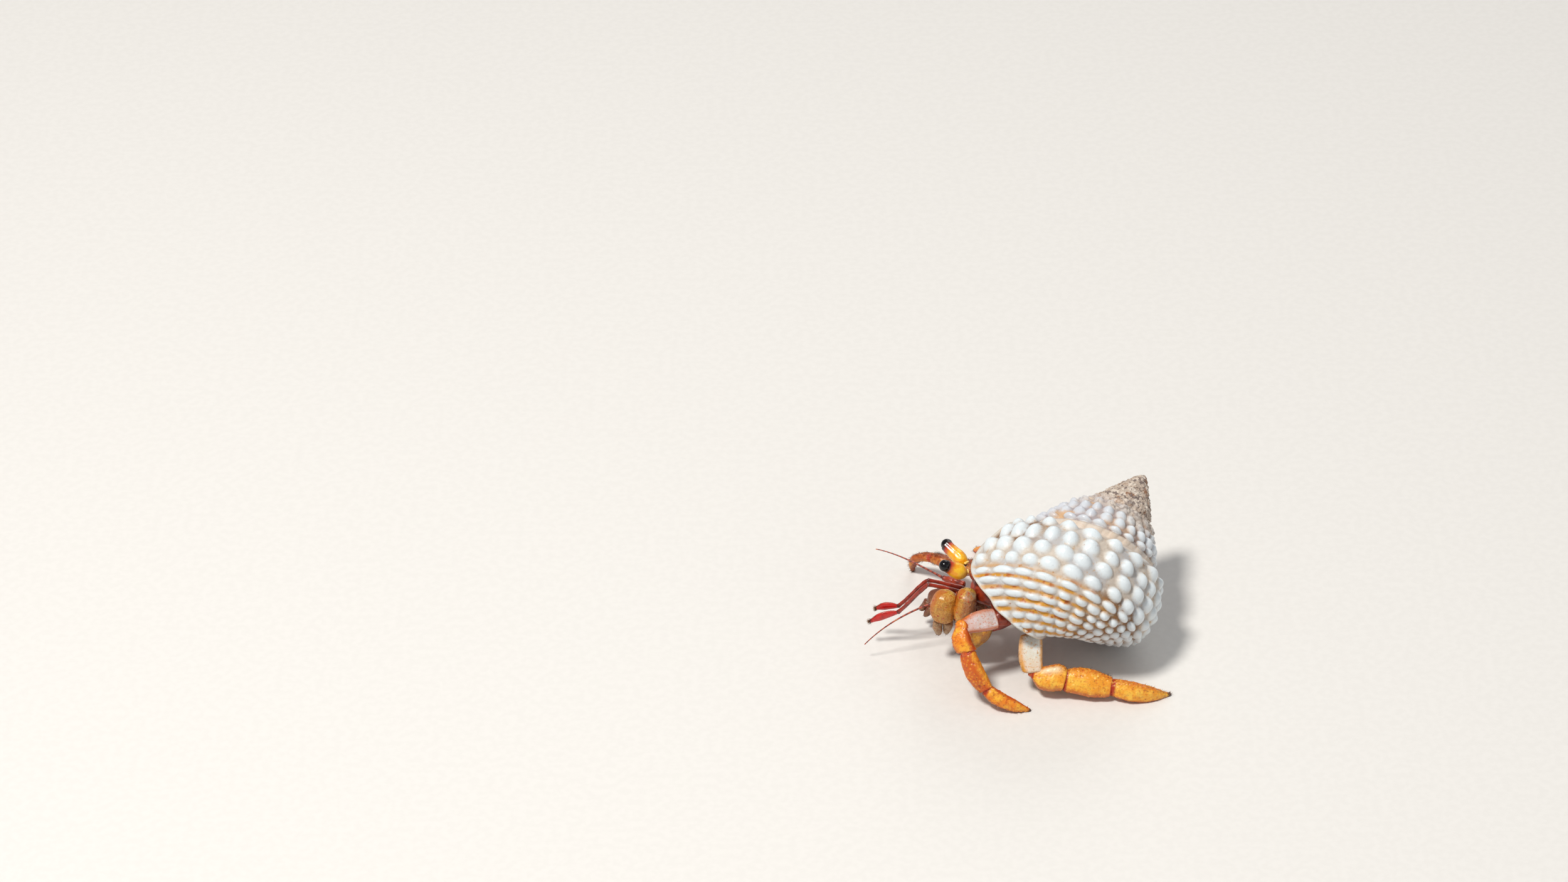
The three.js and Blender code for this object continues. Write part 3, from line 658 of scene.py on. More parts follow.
class Limb:
    """A segment of a limb read from its solid: a smooth line with an oval section along it."""

    flat = 0.0

    def __init__(self, node, before, after, dorsal, begin=None):
        self.nodes = [node]
        joints = [np.mean([joint_between(node, other) for other in others], axis=0) if others else None
                  for others in (before, after)]
        if begin is not None:
            joints[0] = begin
        self.begin = far_end(node, joints[1]) if joints[0] is None else joints[0]
        self.end = far_end(node, joints[0]) if joints[1] is None else joints[1]
        self.length = float(np.linalg.norm(self.end - self.begin))
        self.along = unit(self.end - self.begin)
        dorsal = np.array(dorsal, float)
        rise = unit(dorsal - (dorsal @ self.along) * self.along)
        faces = triangles(node)
        ring = cut(faces, self.along, ((self.begin + self.end) / 2) @ self.along)
        ring = ring - ring.mean(axis=0)
        across = np.cross(self.along, rise)
        sizes, ways = np.linalg.eigh(np.cov(np.stack([ring @ across, ring @ rise])))
        if sizes[1] > 1.15 * sizes[0]:
            way = ways[:, np.argmax(np.abs(ways[1]))]
            rise = unit(way[0] * across + way[1] * rise) * np.sign(way[1])
            across = np.cross(self.along, rise)
        self.rise, self.across = rise, across
        rows = []
        for share in SECTIONS:
            place = self.begin + share * (self.end - self.begin)
            offset = cut(faces, self.along, place @ self.along) - place
            spans = [(side.min(), side.max()) for side in (offset @ across, offset @ rise)]
            rows.append([(low + high) / 2 for low, high in spans] + [(high - low) / 2 for low, high in spans])
        rows = np.array(rows)
        bow = np.stack([SECTIONS * (1 - SECTIONS), SECTIONS ** 2 * (1 - SECTIONS)], axis=1)
        self.bow = np.linalg.lstsq(bow, rows[:, :2], rcond=None)[0]
        self.halves = [np.polyfit(SECTIONS, half * SKIN_GROWTH, 2) for half in rows[:, 2:].T]

    def centre(self, t):
        """Points on the middle line at shares of the length. It bows only between its ends."""
        shift = np.stack([t * (1 - t), t ** 2 * (1 - t)], axis=-1) @ self.bow
        shift = np.where(((t > 0) & (t < 1))[..., None], shift, 0)
        line = self.begin + t[..., None] * (self.end - self.begin)
        return line + shift[..., :1] * self.across + shift[..., 1:] * self.rise

    def half(self, t, place):
        """Half the width (place 0) or half the height (place 1) at a share of the length."""
        size = np.polyval(self.halves[place], np.clip(t, self.flat, 1 - self.flat))
        return np.maximum(size, LEAST_HALF)

    def area(self):
        """Length times half the height, in square millimetres."""
        return self.length / MM * float(self.half(np.array(0.5), 1)) / MM


def made_limb(begin, end, rise, halves, nodes=()):
    """A limb given by its ends and the half sizes of its section, as polynomials along it."""
    limb = Limb.__new__(Limb)
    limb.nodes = list(nodes)
    limb.begin, limb.end = np.asarray(begin), np.asarray(end)
    limb.length = float(np.linalg.norm(limb.end - limb.begin))
    limb.along = unit(limb.end - limb.begin)
    limb.rise = unit(np.asarray(rise) - (np.asarray(rise) @ limb.along) * limb.along)
    limb.across = np.cross(limb.along, limb.rise)
    limb.bow = np.zeros((2, 2))
    limb.halves = [np.array(half) for half in halves]
    return limb


class Surface:
    """A closed skin round a limb, as a grid of rings, that can be shaped before it is made a piece."""

    def __init__(self, limb, profile, step=0.055, boxy=2.3, start=-0.02, stop=1.02, round_start=0.5,
                 round_stop=0.5):
        self.limb = limb
        length = limb.length / MM
        rings = max(int((stop - start) * length / step), 12)
        even = np.linspace(0, 1, rings)
        spaced = 0.75 * even + 0.25 * (0.5 - 0.5 * np.cos(math.pi * even))
        t = start + (stop - start) * spaced
        widest = float(max(limb.half(t, 0).max(), limb.half(t, 1).max())) / MM
        sides = max(int(TURN * widest / step), 12)
        angle = np.arange(sides) * TURN / sides
        self.t, self.angle = (grid.ravel() for grid in np.meshgrid(t, angle, indexing="ij"))
        self.shape = (rings, sides)
        size = np.minimum(limb.half(t, 0), limb.half(t, 1)) * profile(t)
        scale = profile(t) * self.cap((t - start) * limb.length, size * round_start)
        scale = scale * self.cap((stop - t) * limb.length, size * round_stop)
        scale = np.repeat(scale, sides)
        cosine, sine = np.cos(self.angle), np.sin(self.angle)
        wide = limb.half(self.t, 0) * scale * np.sign(cosine) * np.abs(cosine) ** (2 / boxy)
        high = limb.half(self.t, 1) * scale * np.sign(sine) * np.abs(sine) ** (2 / boxy)
        self.points = limb.centre(self.t) + wide[:, None] * limb.across + high[:, None] * limb.rise
        self.out = unit(cosine[:, None] * limb.across + sine[:, None] * limb.rise)
        # edge marks the upper side and under marks the underside; the finishes darken the underside as
        # painted shade.
        self.masks = {"t": self.t, "edge": smoothstep(0.35, 0.95, sine),
                      "under": smoothstep(0.5, 0.95, -sine)}

    @staticmethod
    def cap(distance, radius):
        """How wide a rounded end is, as a share, at a distance from its tip."""
        share = np.clip(distance / np.maximum(radius, 1e-7), 0.02, 1)
        return np.sqrt(1 - (1 - share) ** 2)

    def lift(self, amount):
        """Moves the skin outward by an amount in millimetres at each point."""
        self.points = self.points + self.out * (np.asarray(amount) * MM)[:, None]
        return self

    def picked(self, draw, count, where):
        """Numbers of points on the skin, drawn more often where the weights are high."""
        chance = np.ones(len(self.t)) if where is None else np.clip(where, 0, None) + 1e-9
        return draw.choice(len(self.t), count, p=chance / chance.sum())

    def knobs(self, seed, count, size, height, where, mask):
        """Low rounded knobs (pits if height is below 0) scattered over the skin."""
        draw = np.random.default_rng(seed)
        centres = self.points[self.picked(draw, count, where)]
        sizes = size * MM * draw.uniform(0.7, 1.25, count)
        raised = np.zeros(len(self.t))
        for centre, wide in zip(centres, sizes):
            near = np.clip(1 - np.sum((self.points - centre) ** 2, axis=1) / wide ** 2, 0, 1)
            raised = np.maximum(raised, near ** 1.3)
        self.masks[mask] = np.maximum(self.masks.get(mask, 0), raised)
        return self.lift(height * raised)

    def roughen(self, cell, height):
        """Smooth unevenness, with bumps as far apart as the cell, in millimetres."""
        return self.lift(height * smooth_noise(self.points, cell * MM))

    def scales(self, cell, height):
        """Short curved ridges that lie across the limb."""
        bend = 0.5 * smooth_noise(self.points, 3 * cell * MM) * cell * MM
        shape = np.stack([self.points @ self.limb.along * 2.4 + bend, self.points @ self.limb.across * 0.8,
                          self.points @ self.limb.rise * 0.9], axis=1)
        self.masks["scale"] = grain(shape, cell * MM)
        return self.lift(height * (self.masks["scale"] - 0.5))

    def made(self, name, slot, finish, replaced=True):
        """Closes both ends with a fan of faces and makes the piece."""
        rings, sides = self.shape
        grid = self.points.reshape(rings, sides, 3)
        points = np.vstack([self.points, grid[0].mean(axis=0), grid[-1].mean(axis=0)])
        points[:, 2] = np.maximum(points[:, 2], 0)
        faces = grid_faces(rings, sides)
        first, last = rings * sides, rings * sides + 1
        for side in range(sides):
            following = (side + 1) % sides
            faces.append((first, following, side))
            faces.append((last, (rings - 1) * sides + side, (rings - 1) * sides + following))
        masks = {key: np.concatenate([values, [values[0], values[-1]]]) for key, values in self.masks.items()}
        piece(name, points, faces, finish, self.limb.nodes if replaced else (), masks)


def swell(*stops):
    """A smooth profile through (place, scale) stops."""
    places, scales = zip(*stops)

    def profile(t):
        low = np.clip(np.searchsorted(places, t, side="right") - 1, 0, len(places) - 2)
        start, stop = np.take(places, low), np.take(places, low + 1)
        share = smoothstep(0, 1, (t - start) / (stop - start))
        return np.take(scales, low) * (1 - share) + np.take(scales, low + 1) * share

    return profile


EVEN = swell((0, 1), (1, 1))


# ------------------------------------------------------------------ bristles

class Coat:
    """Bristles gathered into one piece, each with its patch on an unwrap of the skin it grows from."""

    CURL = 0.35
    SPIKE_FACES = np.array([(0, 1, 4, 3), (1, 2, 5, 4), (2, 0, 3, 5)])
    TIP_FACES = np.array([(3, 4, 6), (4, 5, 6), (5, 3, 6), (0, 2, 1)])
    PATCH = 0.003 * np.array([(0, 0), (1, 0), (0.5, 1), (0.2, 0.15), (0.8, 0.15), (0.5, 0.8), (0.5, 0.45)])

    def __init__(self, name, slot, finish, columns):
        self.name, self.slot, self.finish, self.columns = name, slot, finish, columns
        self.points, self.uvs = [], []

    def grow(self, surface, column, seed, count, length, width, where, lean=0.8):
        """Bristles on a limb's skin that lean towards its tip, shortest and longest length given."""
        draw = np.random.default_rng(seed)
        picked = surface.picked(draw, count, where)
        root = surface.points[picked] - surface.out[picked] * 0.02 * MM
        lean_by = lean * draw.uniform(0.5, 1.4, count)[:, None]
        way = unit(surface.out[picked] + lean_by * surface.limb.along + draw.normal(0, 0.22, (count, 3)))
        curve = unit(way + self.CURL * surface.limb.along)
        long = draw.uniform(*length, count)[:, None] * MM
        side = unit(np.cross(way, surface.limb.along + 0.01))
        other = np.cross(way, side)
        wide = width * MM * draw.uniform(0.7, 1.2, count)[:, None]
        base = [root + wide * (side * math.cos(turn) + other * math.sin(turn)) for turn in (0, 2.1, 4.2)]
        bend = root + way * long * 0.55
        middle = [bend + 0.6 * (corner - root) for corner in base]
        tip = bend + curve * long * 0.45
        points = np.stack(base + middle + [tip], axis=1)
        points[..., 2] = np.maximum(points[..., 2], 0.0)
        self.points.append(points)
        place = np.stack([(column + 0.05 + 0.9 * surface.angle[picked] / TURN) / self.columns,
                          0.02 + 0.95 * np.clip(surface.t[picked], 0, 1)], axis=1)
        self.uvs.append(place[:, None, :] + self.PATCH[None])

    def made(self):
        points, uvs = np.concatenate(self.points), np.concatenate(self.uvs)
        first = (np.arange(len(points)) * 7)[:, None, None]
        faces = (self.SPIKE_FACES[None] + first).reshape(-1, 4).tolist()
        faces += (self.TIP_FACES[None] + first).reshape(-1, 3).tolist()
        along = np.tile([0, 0, 0, 0.55, 0.55, 0.55, 1], len(points))
        coat = piece(self.name, points.reshape(-1, 3), faces, self.finish, masks={"t": along})
        layer = coat.data.uv_layers.new(name="OFBake")
        corner = np.zeros(len(coat.data.loops), int)
        coat.data.loops.foreach_get("vertex_index", corner)
        layer.data.foreach_set("uv", uvs.reshape(-1, 2)[corner].ravel())


# ------------------------------------------------------------------ finishes of the crab

def horn_finish(name, base, light, edge, spot=(0.30, 0.03, 0.01), roughness=0.42, coat=0.12, joint=None):
    """Hard skin of a limb: mottled, with darker joints, darker edges that are partly its own colour and
    partly painted shade, painted shade on the underside, a painted highlight on a marked ridge, pale knobs
    and dark dots.
    """
    made = Finish(name, base, roughness, coat, subsurface=0.12)
    broad, fine = made.noise(0.9, 4), made.noise(0.22, 4)
    made.over(light, made.between(broad, 0.42, 0.66))
    made.over(edge, made.part(fine, 0.52, 0.70, 0.6))
    made.over((0.20, 0.03, 0.006), made.part(made.noise(0.09, 3), 0.60, 0.70, 0.4))
    # The upper edge is darkened red: partly the skin's own colour and partly painted shade along the outline.
    made.over(edge, made.times(made.mask("edge"), made.scaled(broad, 0.4, 1.0)))
    # Painted shade along the underside.
    made.over(edge, made.times(made.mask("under"), 0.8))
    made.over(joint or edge, made.mask("ends"))
    made.over(spot, made.mask("spot"))
    made.over(light, made.times(made.mask("knob"), 0.55))
    # Painted highlight where a gleam is marked.
    made.over((0.90, 0.78, 0.52), made.times(made.mask("gleam"), 0.8))
    made.over((0.06, 0.02, 0.012), made.mask("tip"))
    made.bump(made.noise(0.10, 3), 0.012)
    made.bump(made.cells(0.17), 0.015, 0.8)
    return made.done()


def claw_finish(name, base, light, groove):
    """Skin of the claws: pale scales with orange grooves between them, and scattered red dots."""
    made = Finish(name, base, 0.40, 0.15, subsurface=0.06)
    broad, fine, dust = made.noise(1.2, 4), made.noise(0.25, 4), made.noise(0.08, 3)
    scale = made.mask("scale")
    made.over(light, made.part(broad, 0.35, 0.55, scale))
    made.over((0.32, 0.25, 0.18), made.times(made.mask("facet"), made.scaled(broad, 0.6, 1.0)))
    made.over(groove, made.part(fine, 0.53, 0.66, 0.7))
    made.over(groove, made.part(made.scaled(scale, 1.0, 0.0), 0.70, 1.0, 0.6))
    made.over((0.18, 0.04, 0.006), made.part(dust, 0.55, 0.64, 0.8))
    made.over(light, made.times(made.mask("knob"), 0.7))
    made.over(groove, made.times(made.mask("edge"), 0.85))
    made.over((0.48, 0.030, 0.003), made.part(made.mask("spot"), 0.1, 0.9, made.scaled(fine, 0.7, 1.3)))
    made.over((0.16, 0.012, 0.006), made.mask("ends"))
    made.over((0.05, 0.015, 0.01), made.mask("tip"))
    made.bump(made.noise(0.10, 3), 0.015)
    return made.done()


def plain_finish(name, base, dark, roughness, coat, size, bump, subsurface):
    made = Finish(name, base, roughness, coat, subsurface=subsurface)
    made.over(dark, made.between(made.noise(size, 5), 0.45, 0.72))
    made.over(dark, made.mask("ends"))
    made.over((0.05, 0.015, 0.01), made.mask("tip"))
    made.bump(made.noise(size * 0.3, 4), bump)
    return made.done()


def bristle_finish():
    made = Finish("bristle", (0.10, 0.03, 0.012), 0.45)
    made.over((0.42, 0.19, 0.06), made.mask("t"))
    made.over((0.06, 0.02, 0.01), made.between(made.noise(0.8, 2), 0.5, 0.6))
    return made.done()


# ------------------------------------------------------------------ walking legs

# Each walking leg: the way its upper edge faces beyond the knee and on the merus, and how furry it is.
LEGS = {
    "leg2_left": {"dorsal": (-1, -0.1, 0.3), "thigh": (0, 0.6, 0.8), "seed": 20, "fur": 1.0},
    "leg3_left": {"dorsal": (0, 0.5, 1), "thigh": (-1, 0, 0), "seed": 40, "fur": 0.6},
    "leg2_right": {"dorsal": (-0.6, 0.2, 1), "thigh": (0, 0.3, 1), "seed": 60, "fur": 4.5},
    "leg3_right": {"dorsal": (0.2, 0.3, 1), "thigh": (0, 0.3, 1), "seed": 80, "fur": 1.2},
}
SEGMENTS = ["ischium", "merus", "carpus", "propodus", "dactyl"]
SPECIAL_SHAPES = {"leg2_left_merus": "thigh", "leg2_left_carpus": "knee"}
# Where the raised ridge with its painted highlight lies round the knee of the third left leg.
RIDGE_ANGLE = 0.6
SEGMENT_SHAPES = {
    "merus": swell((-0.04, 0.94), (0.12, 1.0), (0.5, 1.0), (0.9, 1.05), (1.05, 1.02)),
    "thigh": swell((-0.04, 1.08), (0.12, 1.08), (0.5, 1.0), (0.9, 0.92), (1.05, 0.82)),
    "carpus": swell((-0.04, 0.62), (0.35, 0.92), (0.7, 1.03), (0.93, 1.03), (1.05, 0.95)),
    "knee": swell((-0.30, 0.56), (0.0, 0.76), (0.5, 0.84), (0.93, 0.90), (1.05, 0.86)),
    "propodus": swell((-0.04, 0.88), (0.12, 1.02), (0.5, 1.08), (0.88, 1.0), (1.05, 0.86)),
    "dactyl": swell((-0.04, 0.92), (0.12, 1.02), (0.6, 1.0), (1.0, 0.8)),
}


def membrane(name, here, there, size, finish):
    """The soft folded skin that joins two segments."""
    middle = (here.end + there.begin) / 2
    limb = made_limb(middle - here.along * size * 1.1, middle + there.along * size * 1.1, there.rise,
                     ([size * 0.85], [size]))
    pull = (middle - (limb.begin + limb.end) / 2) * 4
    limb.bow = np.array([[pull @ limb.across, pull @ limb.rise], [0, 0]])
    skin = Surface(limb, EVEN, step=0.07, boxy=2.1, round_start=1.0, round_stop=1.0)
    skin.lift(0.03 * np.sin(skin.t * 30)).roughen(0.3, 0.03)
    skin.made(name, "flesh", finish, replaced=False)


def walking_leg(leg, finishes):
    """The four hard segments of a leg, the soft skin between them and the bristles."""
    style = LEGS[leg]
    names = [f"{leg}_{segment}" for segment in SEGMENTS]
    coat = Coat(f"{leg}_bristles", "leg", finishes["bristle"], 4)
    before = None
    for place, segment in enumerate(SEGMENTS[1:], 1):
        name, seed = names[place], style["seed"] + place
        merus, tip = segment == "merus", segment == "dactyl"
        shape = SPECIAL_SHAPES.get(name, segment)
        bent = shape == "knee"
        limb = Limb(name, [names[place - 1]], () if tip else [names[place + 1]],
                    style["thigh" if merus else "dorsal"])
        limb.flat = 0.0 if tip else 0.08
        if merus:
            limb.bow = limb.bow * 0.3
        skin = Surface(limb, SEGMENT_SHAPES[shape], boxy=2.8 if merus else 2.5,
                       start=-0.30 if bent else -0.045, stop=1.0 if tip else 1.045,
                       round_start=0.8 if bent else 0.35, round_stop=1.2 if tip else 0.35)
        area = limb.area()
        dorsal = 0.25 + skin.masks["edge"]
        skin.roughen(0.6, 0.025 if merus else 0.05).roughen(0.16, 0.006 if merus else 0.025)
        skin.knobs(seed, int(area * (4 if merus else 34)), 0.12, 0.02 if merus else 0.045, dorsal, "knob")
        skin.knobs(seed + 5, int(area * 9), 0.08, -0.025, None, "spot")
        if merus:
            upright = np.sin(skin.angle)
            skin.masks["edge"] = smoothstep(0.25, 0.85, upright)
            # The merus's underside gets a dark red band of painted shade.
            skin.masks["under"] = smoothstep(0.55, 0.85, -upright)
            stained = smoothstep(0.45, 0.90, skin.t) * (0.3 + 0.7 * skin.masks["edge"])
            skin.masks["ends"] = np.clip(stained + smoothstep(0.06, -0.02, skin.t), 0, 1)
        else:
            first = smoothstep(0.07, 0.02, skin.t) * (not bent)
            last = smoothstep(0.97, 1.0, skin.t) * (not tip)
            skin.masks["ends"] = np.clip(first + last, 0, 1)
        if name == "leg3_left_carpus":
            # A raised ridge on the knee, painted pale as a highlight.
            ridge = smoothstep(0.55, 0.0, np.abs(skin.angle - RIDGE_ANGLE)) * smoothstep(0.1, 0.4, skin.t)
            skin.masks["gleam"] = ridge * smoothstep(0.95, 0.6, skin.t)
            skin.lift(0.10 * skin.masks["gleam"])
        if tip:
            skin.masks["tip"] = smoothstep(0.90, 0.98, skin.t)
            skin.lift(0.03 * np.cos(skin.angle * 8) * (1 - skin.t))
        near_end = 0.3 + smoothstep(0.5, 1.0, skin.t)
        count = int(area * 46 * style["fur"] * (0.35 if merus else 1.0))
        coat.grow(skin, place - 1, seed + 9, count, (0.12, 0.40), 0.012, near_end * dorsal)
        finish = finishes["merus_" + leg[:4] if merus else leg]
        skin.made(f"{name}_skin", "merus" if merus else "leg", finish)
        if before is not None:
            size = 0.78 * float(min(limb.half(np.array(0.1), 0), before.half(np.array(0.9), 0)))
            membrane(f"{leg}_joint_{segment}", before, limb, size, finishes["membrane"])
        before = limb
    coat.made()


# ------------------------------------------------------------------ claws

# The seed of each claw and the way that its dorsal side faces.
CLAWS = {"claw_left": (110, (0, -1, 0.2)), "claw_right": (140, (0, 0, 1))}
CLAW_SHAPES = {
    "merus": swell((-0.03, 0.9), (0.15, 1), (1.03, 1.0)),
    "carpus": swell((-0.03, 0.94), (0.2, 1.02), (0.9, 1.04), (1.03, 0.96)),
    "palm": swell((-0.03, 0.95), (0.2, 1.03), (0.8, 1.04), (1.03, 1.0)),
    "fixed_finger": swell((0, 1.12), (0.5, 1.0), (1, 0.9)),
    "dactyl": swell((0, 1.12), (0.5, 1.0), (1, 0.9)),
}

# The greyer side of the claw's carpus, and the reddened side of the whole claw.
FACET = unit([0.6, -0.8, 0.1])
CLAW_FLANK = unit([-1, 0.1, 0.2])


def claw(name, finishes):
    """The five hard parts of a claw, the soft skin between them and the bristles."""
    seed, fingers_face = CLAWS[name]
    coat = Coat(f"{name}_bristles", "claw", finishes["bristle"], len(CLAW_SHAPES))
    fingers = [f"{name}_dactyl", f"{name}_fixed_finger"]
    joints = {
        "merus": ([f"{name}_ischium"] if name == "claw_left" else ["thorax"], [f"{name}_carpus"]),
        "carpus": ([f"{name}_merus"], () if name == "claw_left" else [f"{name}_palm"]),
        "palm": ((), fingers),
    }
    limbs = {}
    for place, (part, profile) in enumerate(CLAW_SHAPES.items()):
        before, after = joints.get(part, ([f"{name}_palm"], ()))
        limb = Limb(f"{name}_{part}", before, after, fingers_face)
        finger = part in ("fixed_finger", "dactyl")
        limb.flat = 0.0 if finger else 0.16
        skin = Surface(limb, profile, start=-0.06 if finger else -0.03, stop=1.0 if finger else 1.03,
                       round_start=0.6, round_stop=1.3 if finger else 0.6)
        area = limb.area()
        skin.roughen(0.7, 0.07).roughen(0.30, 0.03).scales(0.26, 0.025)
        skin.knobs(seed + place, int(area * 34), 0.09, 0.035, None, "knob")
        skin.knobs(seed + place + 6, int(area * 9), 0.13, 0.02, None, "spot")
        flank = smoothstep(0.35, 0.9, skin.out @ CLAW_FLANK)
        skin.masks["edge"] = np.maximum(skin.masks["edge"] * 0.4, flank)
        if part == "palm":
            skin.masks["ends"] = smoothstep(0.93, 1.01, skin.t)
        if part == "carpus":
            skin.masks["facet"] = smoothstep(0.45, 0.75, skin.out @ FACET)
        if finger:
            skin.masks["tip"] = smoothstep(0.8, 0.97, skin.t) * 0.8
        coat.grow(skin, place, seed + place + 12, int(area * 12), (0.10, 0.3), 0.02,
                  0.2 + smoothstep(0.6, 1, skin.t))
        # The fingers' finish is partly their own greyer tone and partly painted shade.
        finish = "finger" if finger else "claw_merus" if part == "merus" else "claw"
        # The far claw takes the darker copy of the claw colours, as painted shade.
        skin.made(f"{name}_{part}_skin", "claw", finishes["shaded_far_claw" if name == "claw_right" else finish])
        limbs[part] = limb
    for near, far, measured, share in (("merus", "carpus", "merus", 0.9), ("carpus", "palm", "palm", 0.1)):
        size = 0.7 * float(limbs[measured].half(np.array(share), 0))
        membrane(f"{name}_joint_{far}", limbs[near], limbs[far], size, finishes["membrane"])
    coat.made()


# ------------------------------------------------------------------ head

def sphere_of(node):
    """Middle and radius of the ball that a solid is cut from."""
    points = corners_of(node)
    table = np.hstack([2 * points, np.ones((len(points), 1))])
    solved = np.linalg.lstsq(table, (points ** 2).sum(axis=1), rcond=None)[0]
    return solved[:3], math.sqrt(solved[3] + solved[:3] @ solved[:3])


def eye(side, finishes):
    """A stalk that swells in the middle and holds the round black cornea at its end."""
    near = side == "left"
    outward = unit([-0.15, -1.0, 0.25] if near else [-0.1, 1.0, 0.35])
    limb = Limb(f"eyestalk_{side}", (), [f"cornea_{side}"], (0, 0, 1))
    centre, radius = sphere_of(f"cornea_{side}")
    ball = centre + outward * (0.02 if near else 0.16) * MM
    reach = (centre - limb.begin) @ limb.along / limb.length + (0.1 if near else 0.55) * radius / limb.length
    limb.flat = 0.12
    end_size = 1.03 * radius / float(limb.half(np.array(0.9), 1))
    fat = 0.98 if near else 1.06
    shape = swell((-0.02, 0.84 * fat), (0.35, fat), (0.75, 0.5 * (fat + end_size)), (reach, end_size))
    skin = Surface(limb, shape, step=0.045, boxy=2.1, stop=reach, round_stop=0.35, round_start=0.9)
    skin.roughen(0.5, 0.03)
    from_crease = np.abs(np.angle(np.exp(1j * (skin.angle - 2.2))))
    skin.lift(-0.06 * smoothstep(0.5, 0.0, from_crease) * smoothstep(0.15, 0.5, skin.t))
    facing, front = skin.out @ outward, skin.out @ unit([-1, 0, 0.4])
    from_cornea = np.linalg.norm(skin.points - ball, axis=1) / radius
    rim = smoothstep(1.35, 1.10, from_cornea - 0.25 * front) + smoothstep(0.08, 0.0, skin.t)
    skin.masks["red"] = smoothstep(2.2, 1.25, from_cornea + 0.25 * facing)
    skin.masks["pale"] = smoothstep(0.55, 0.05, skin.t) * smoothstep(-0.2, 0.9, facing)
    skin.masks["rim"] = np.clip(rim, 0, 1)
    # The underside's painted shade fades out towards the stalk's root.
    skin.masks["under"] = skin.masks["under"] * smoothstep(0.1, 0.5, skin.t)
    skin.made(f"eyestalk_{side}_skin", "stalk", finishes["stalk"])

    along = unit(limb.along + 0.2 * outward)
    size = 1.02 * radius
    limb_of_ball = made_limb(ball - along * size, ball + along * size, np.cross(along, outward),
                             ([size], [size]), [f"cornea_{side}"])
    dome = Surface(limb_of_ball, EVEN, step=0.04, boxy=2.0, start=0.0, stop=1.0, round_start=1.0,
                   round_stop=1.0)
    dome.made(f"cornea_{side}_dome", "cornea", finishes["cornea"])

    root = limb.begin - outward * 0.1 * MM + limb.rise * 0.45 * MM
    way = unit(limb.along - 0.5 * limb.rise)
    tapering = np.array([[-0.26, 0.34], [-0.08, 0.14]]) * MM
    point = Surface(made_limb(root, root + way * 0.75 * MM, limb.rise, tapering), EVEN, step=0.04,
                    start=0.0, stop=1.0)
    point.masks["pale"] = np.ones(len(point.t))
    point.made(f"eye_scale_{side}", "stalk", finishes["stalk"], replaced=False)


def antennule(side, finishes):
    names = [f"antennule_{part}_{side}" for part in ("base", "arm", "flagellum")]
    coat = Coat(f"antennule_bristles_{side}", "antennule", finishes["bristle"], 1)
    for place, name in enumerate(names):
        limb = Limb(name, names[place - 1:place], names[place + 1:place + 2], (0, 0, 1))
        if place == 2:
            shape = swell((0, 0.62), (0.25, 0.76), (0.6, 0.80), (1.0, 0.5))
            skin = Surface(limb, shape, step=0.03, stop=1.0, round_stop=1.6, boxy=2.0)
            skin.lift(0.006 * np.sin(skin.t * 120))
            skin.masks["tip"] = smoothstep(0.93, 1.0, skin.t)
            top = smoothstep(0.5, 0.9, np.sin(skin.angle))
            coat.grow(skin, 0, 210, 420, (0.05, 0.13), 0.010, top, lean=0.7)
            coat.grow(skin, 0, 211, 110, (0.25, 0.45), 0.014, smoothstep(0.88, 1.0, skin.t), lean=1.4)
        else:
            shape = swell((0, 0.74), (0.12, 0.84), (0.85, 0.74), (1.03, 0.90))
            skin = Surface(limb, shape, step=0.035, boxy=2.1, start=-0.03, stop=1.03, round_start=1.0,
                           round_stop=1.0)
            skin.roughen(0.4, 0.02)
            skin.masks["ends"] = smoothstep(0.9, 1.0, skin.t)
        skin.made(f"{name}_skin", "antennule", finishes["flagellum" if place == 2 else "antennule"])
    coat.made()


def antenna(side, finishes):
    base, lash = f"antenna_base_{side}", f"antenna_flagellum_{side}"
    root = Limb(base, (), [lash], (0, 0, 1))
    skin = Surface(root, swell((0, 0.9), (0.45, 0.95), (0.52, 0.8), (0.6, 0.9), (1.03, 0.75)), step=0.05)
    skin.roughen(0.3, 0.05)
    skin.masks["ends"] = smoothstep(0.9, 1.0, skin.t)
    skin.made(f"{base}_skin", "flesh", finishes["flesh"])
    limb = Limb(lash, [base], (), (0, 0, 1))
    taper = swell((0, 0.52), (0.15, 0.40), (1.0, 0.20))
    skin = Surface(limb, taper, step=0.03, boxy=2.0, stop=1.0)
    skin.lift(0.006 * np.sin(skin.t * 46 * TURN))
    skin.masks["band"] = smoothstep(-0.2, 0.5, np.sin(skin.t * 15 * TURN))
    skin.made(f"{lash}_skin", "antennule", finishes["antenna"])


def mouthparts(finishes):
    """The third maxillipeds, from their deepest ends to the tips that hang in front."""
    coat = Coat("maxilliped_bristles", "claw", finishes["bristle"], 2)
    shape = swell((0, 0.9), (0.3, 1.1), (0.36, 0.95), (0.6, 1.1), (0.66, 0.9), (1, 0.8))
    for place, side in enumerate(("left", "right")):
        name = f"maxilliped_{side}"
        points = corners_of(name)
        begin = points[points[:, 0] > points[:, 0].max() - 0.1 * MM].mean(axis=0)
        skin = Surface(Limb(name, (), (), (0, 0, 1), begin), shape, step=0.05)
        skin.roughen(0.3, 0.04)
        skin.scales(0.3, 0.03)
        skin.masks["ends"] = smoothstep(0.2, 0.0, skin.t)
        coat.grow(skin, place, 250 + place, 320, (0.2, 0.55), 0.018, 0.2 + smoothstep(0.4, 1, skin.t))
        skin.made(f"{name}_skin", "claw", finishes["claw"])
    coat.made()


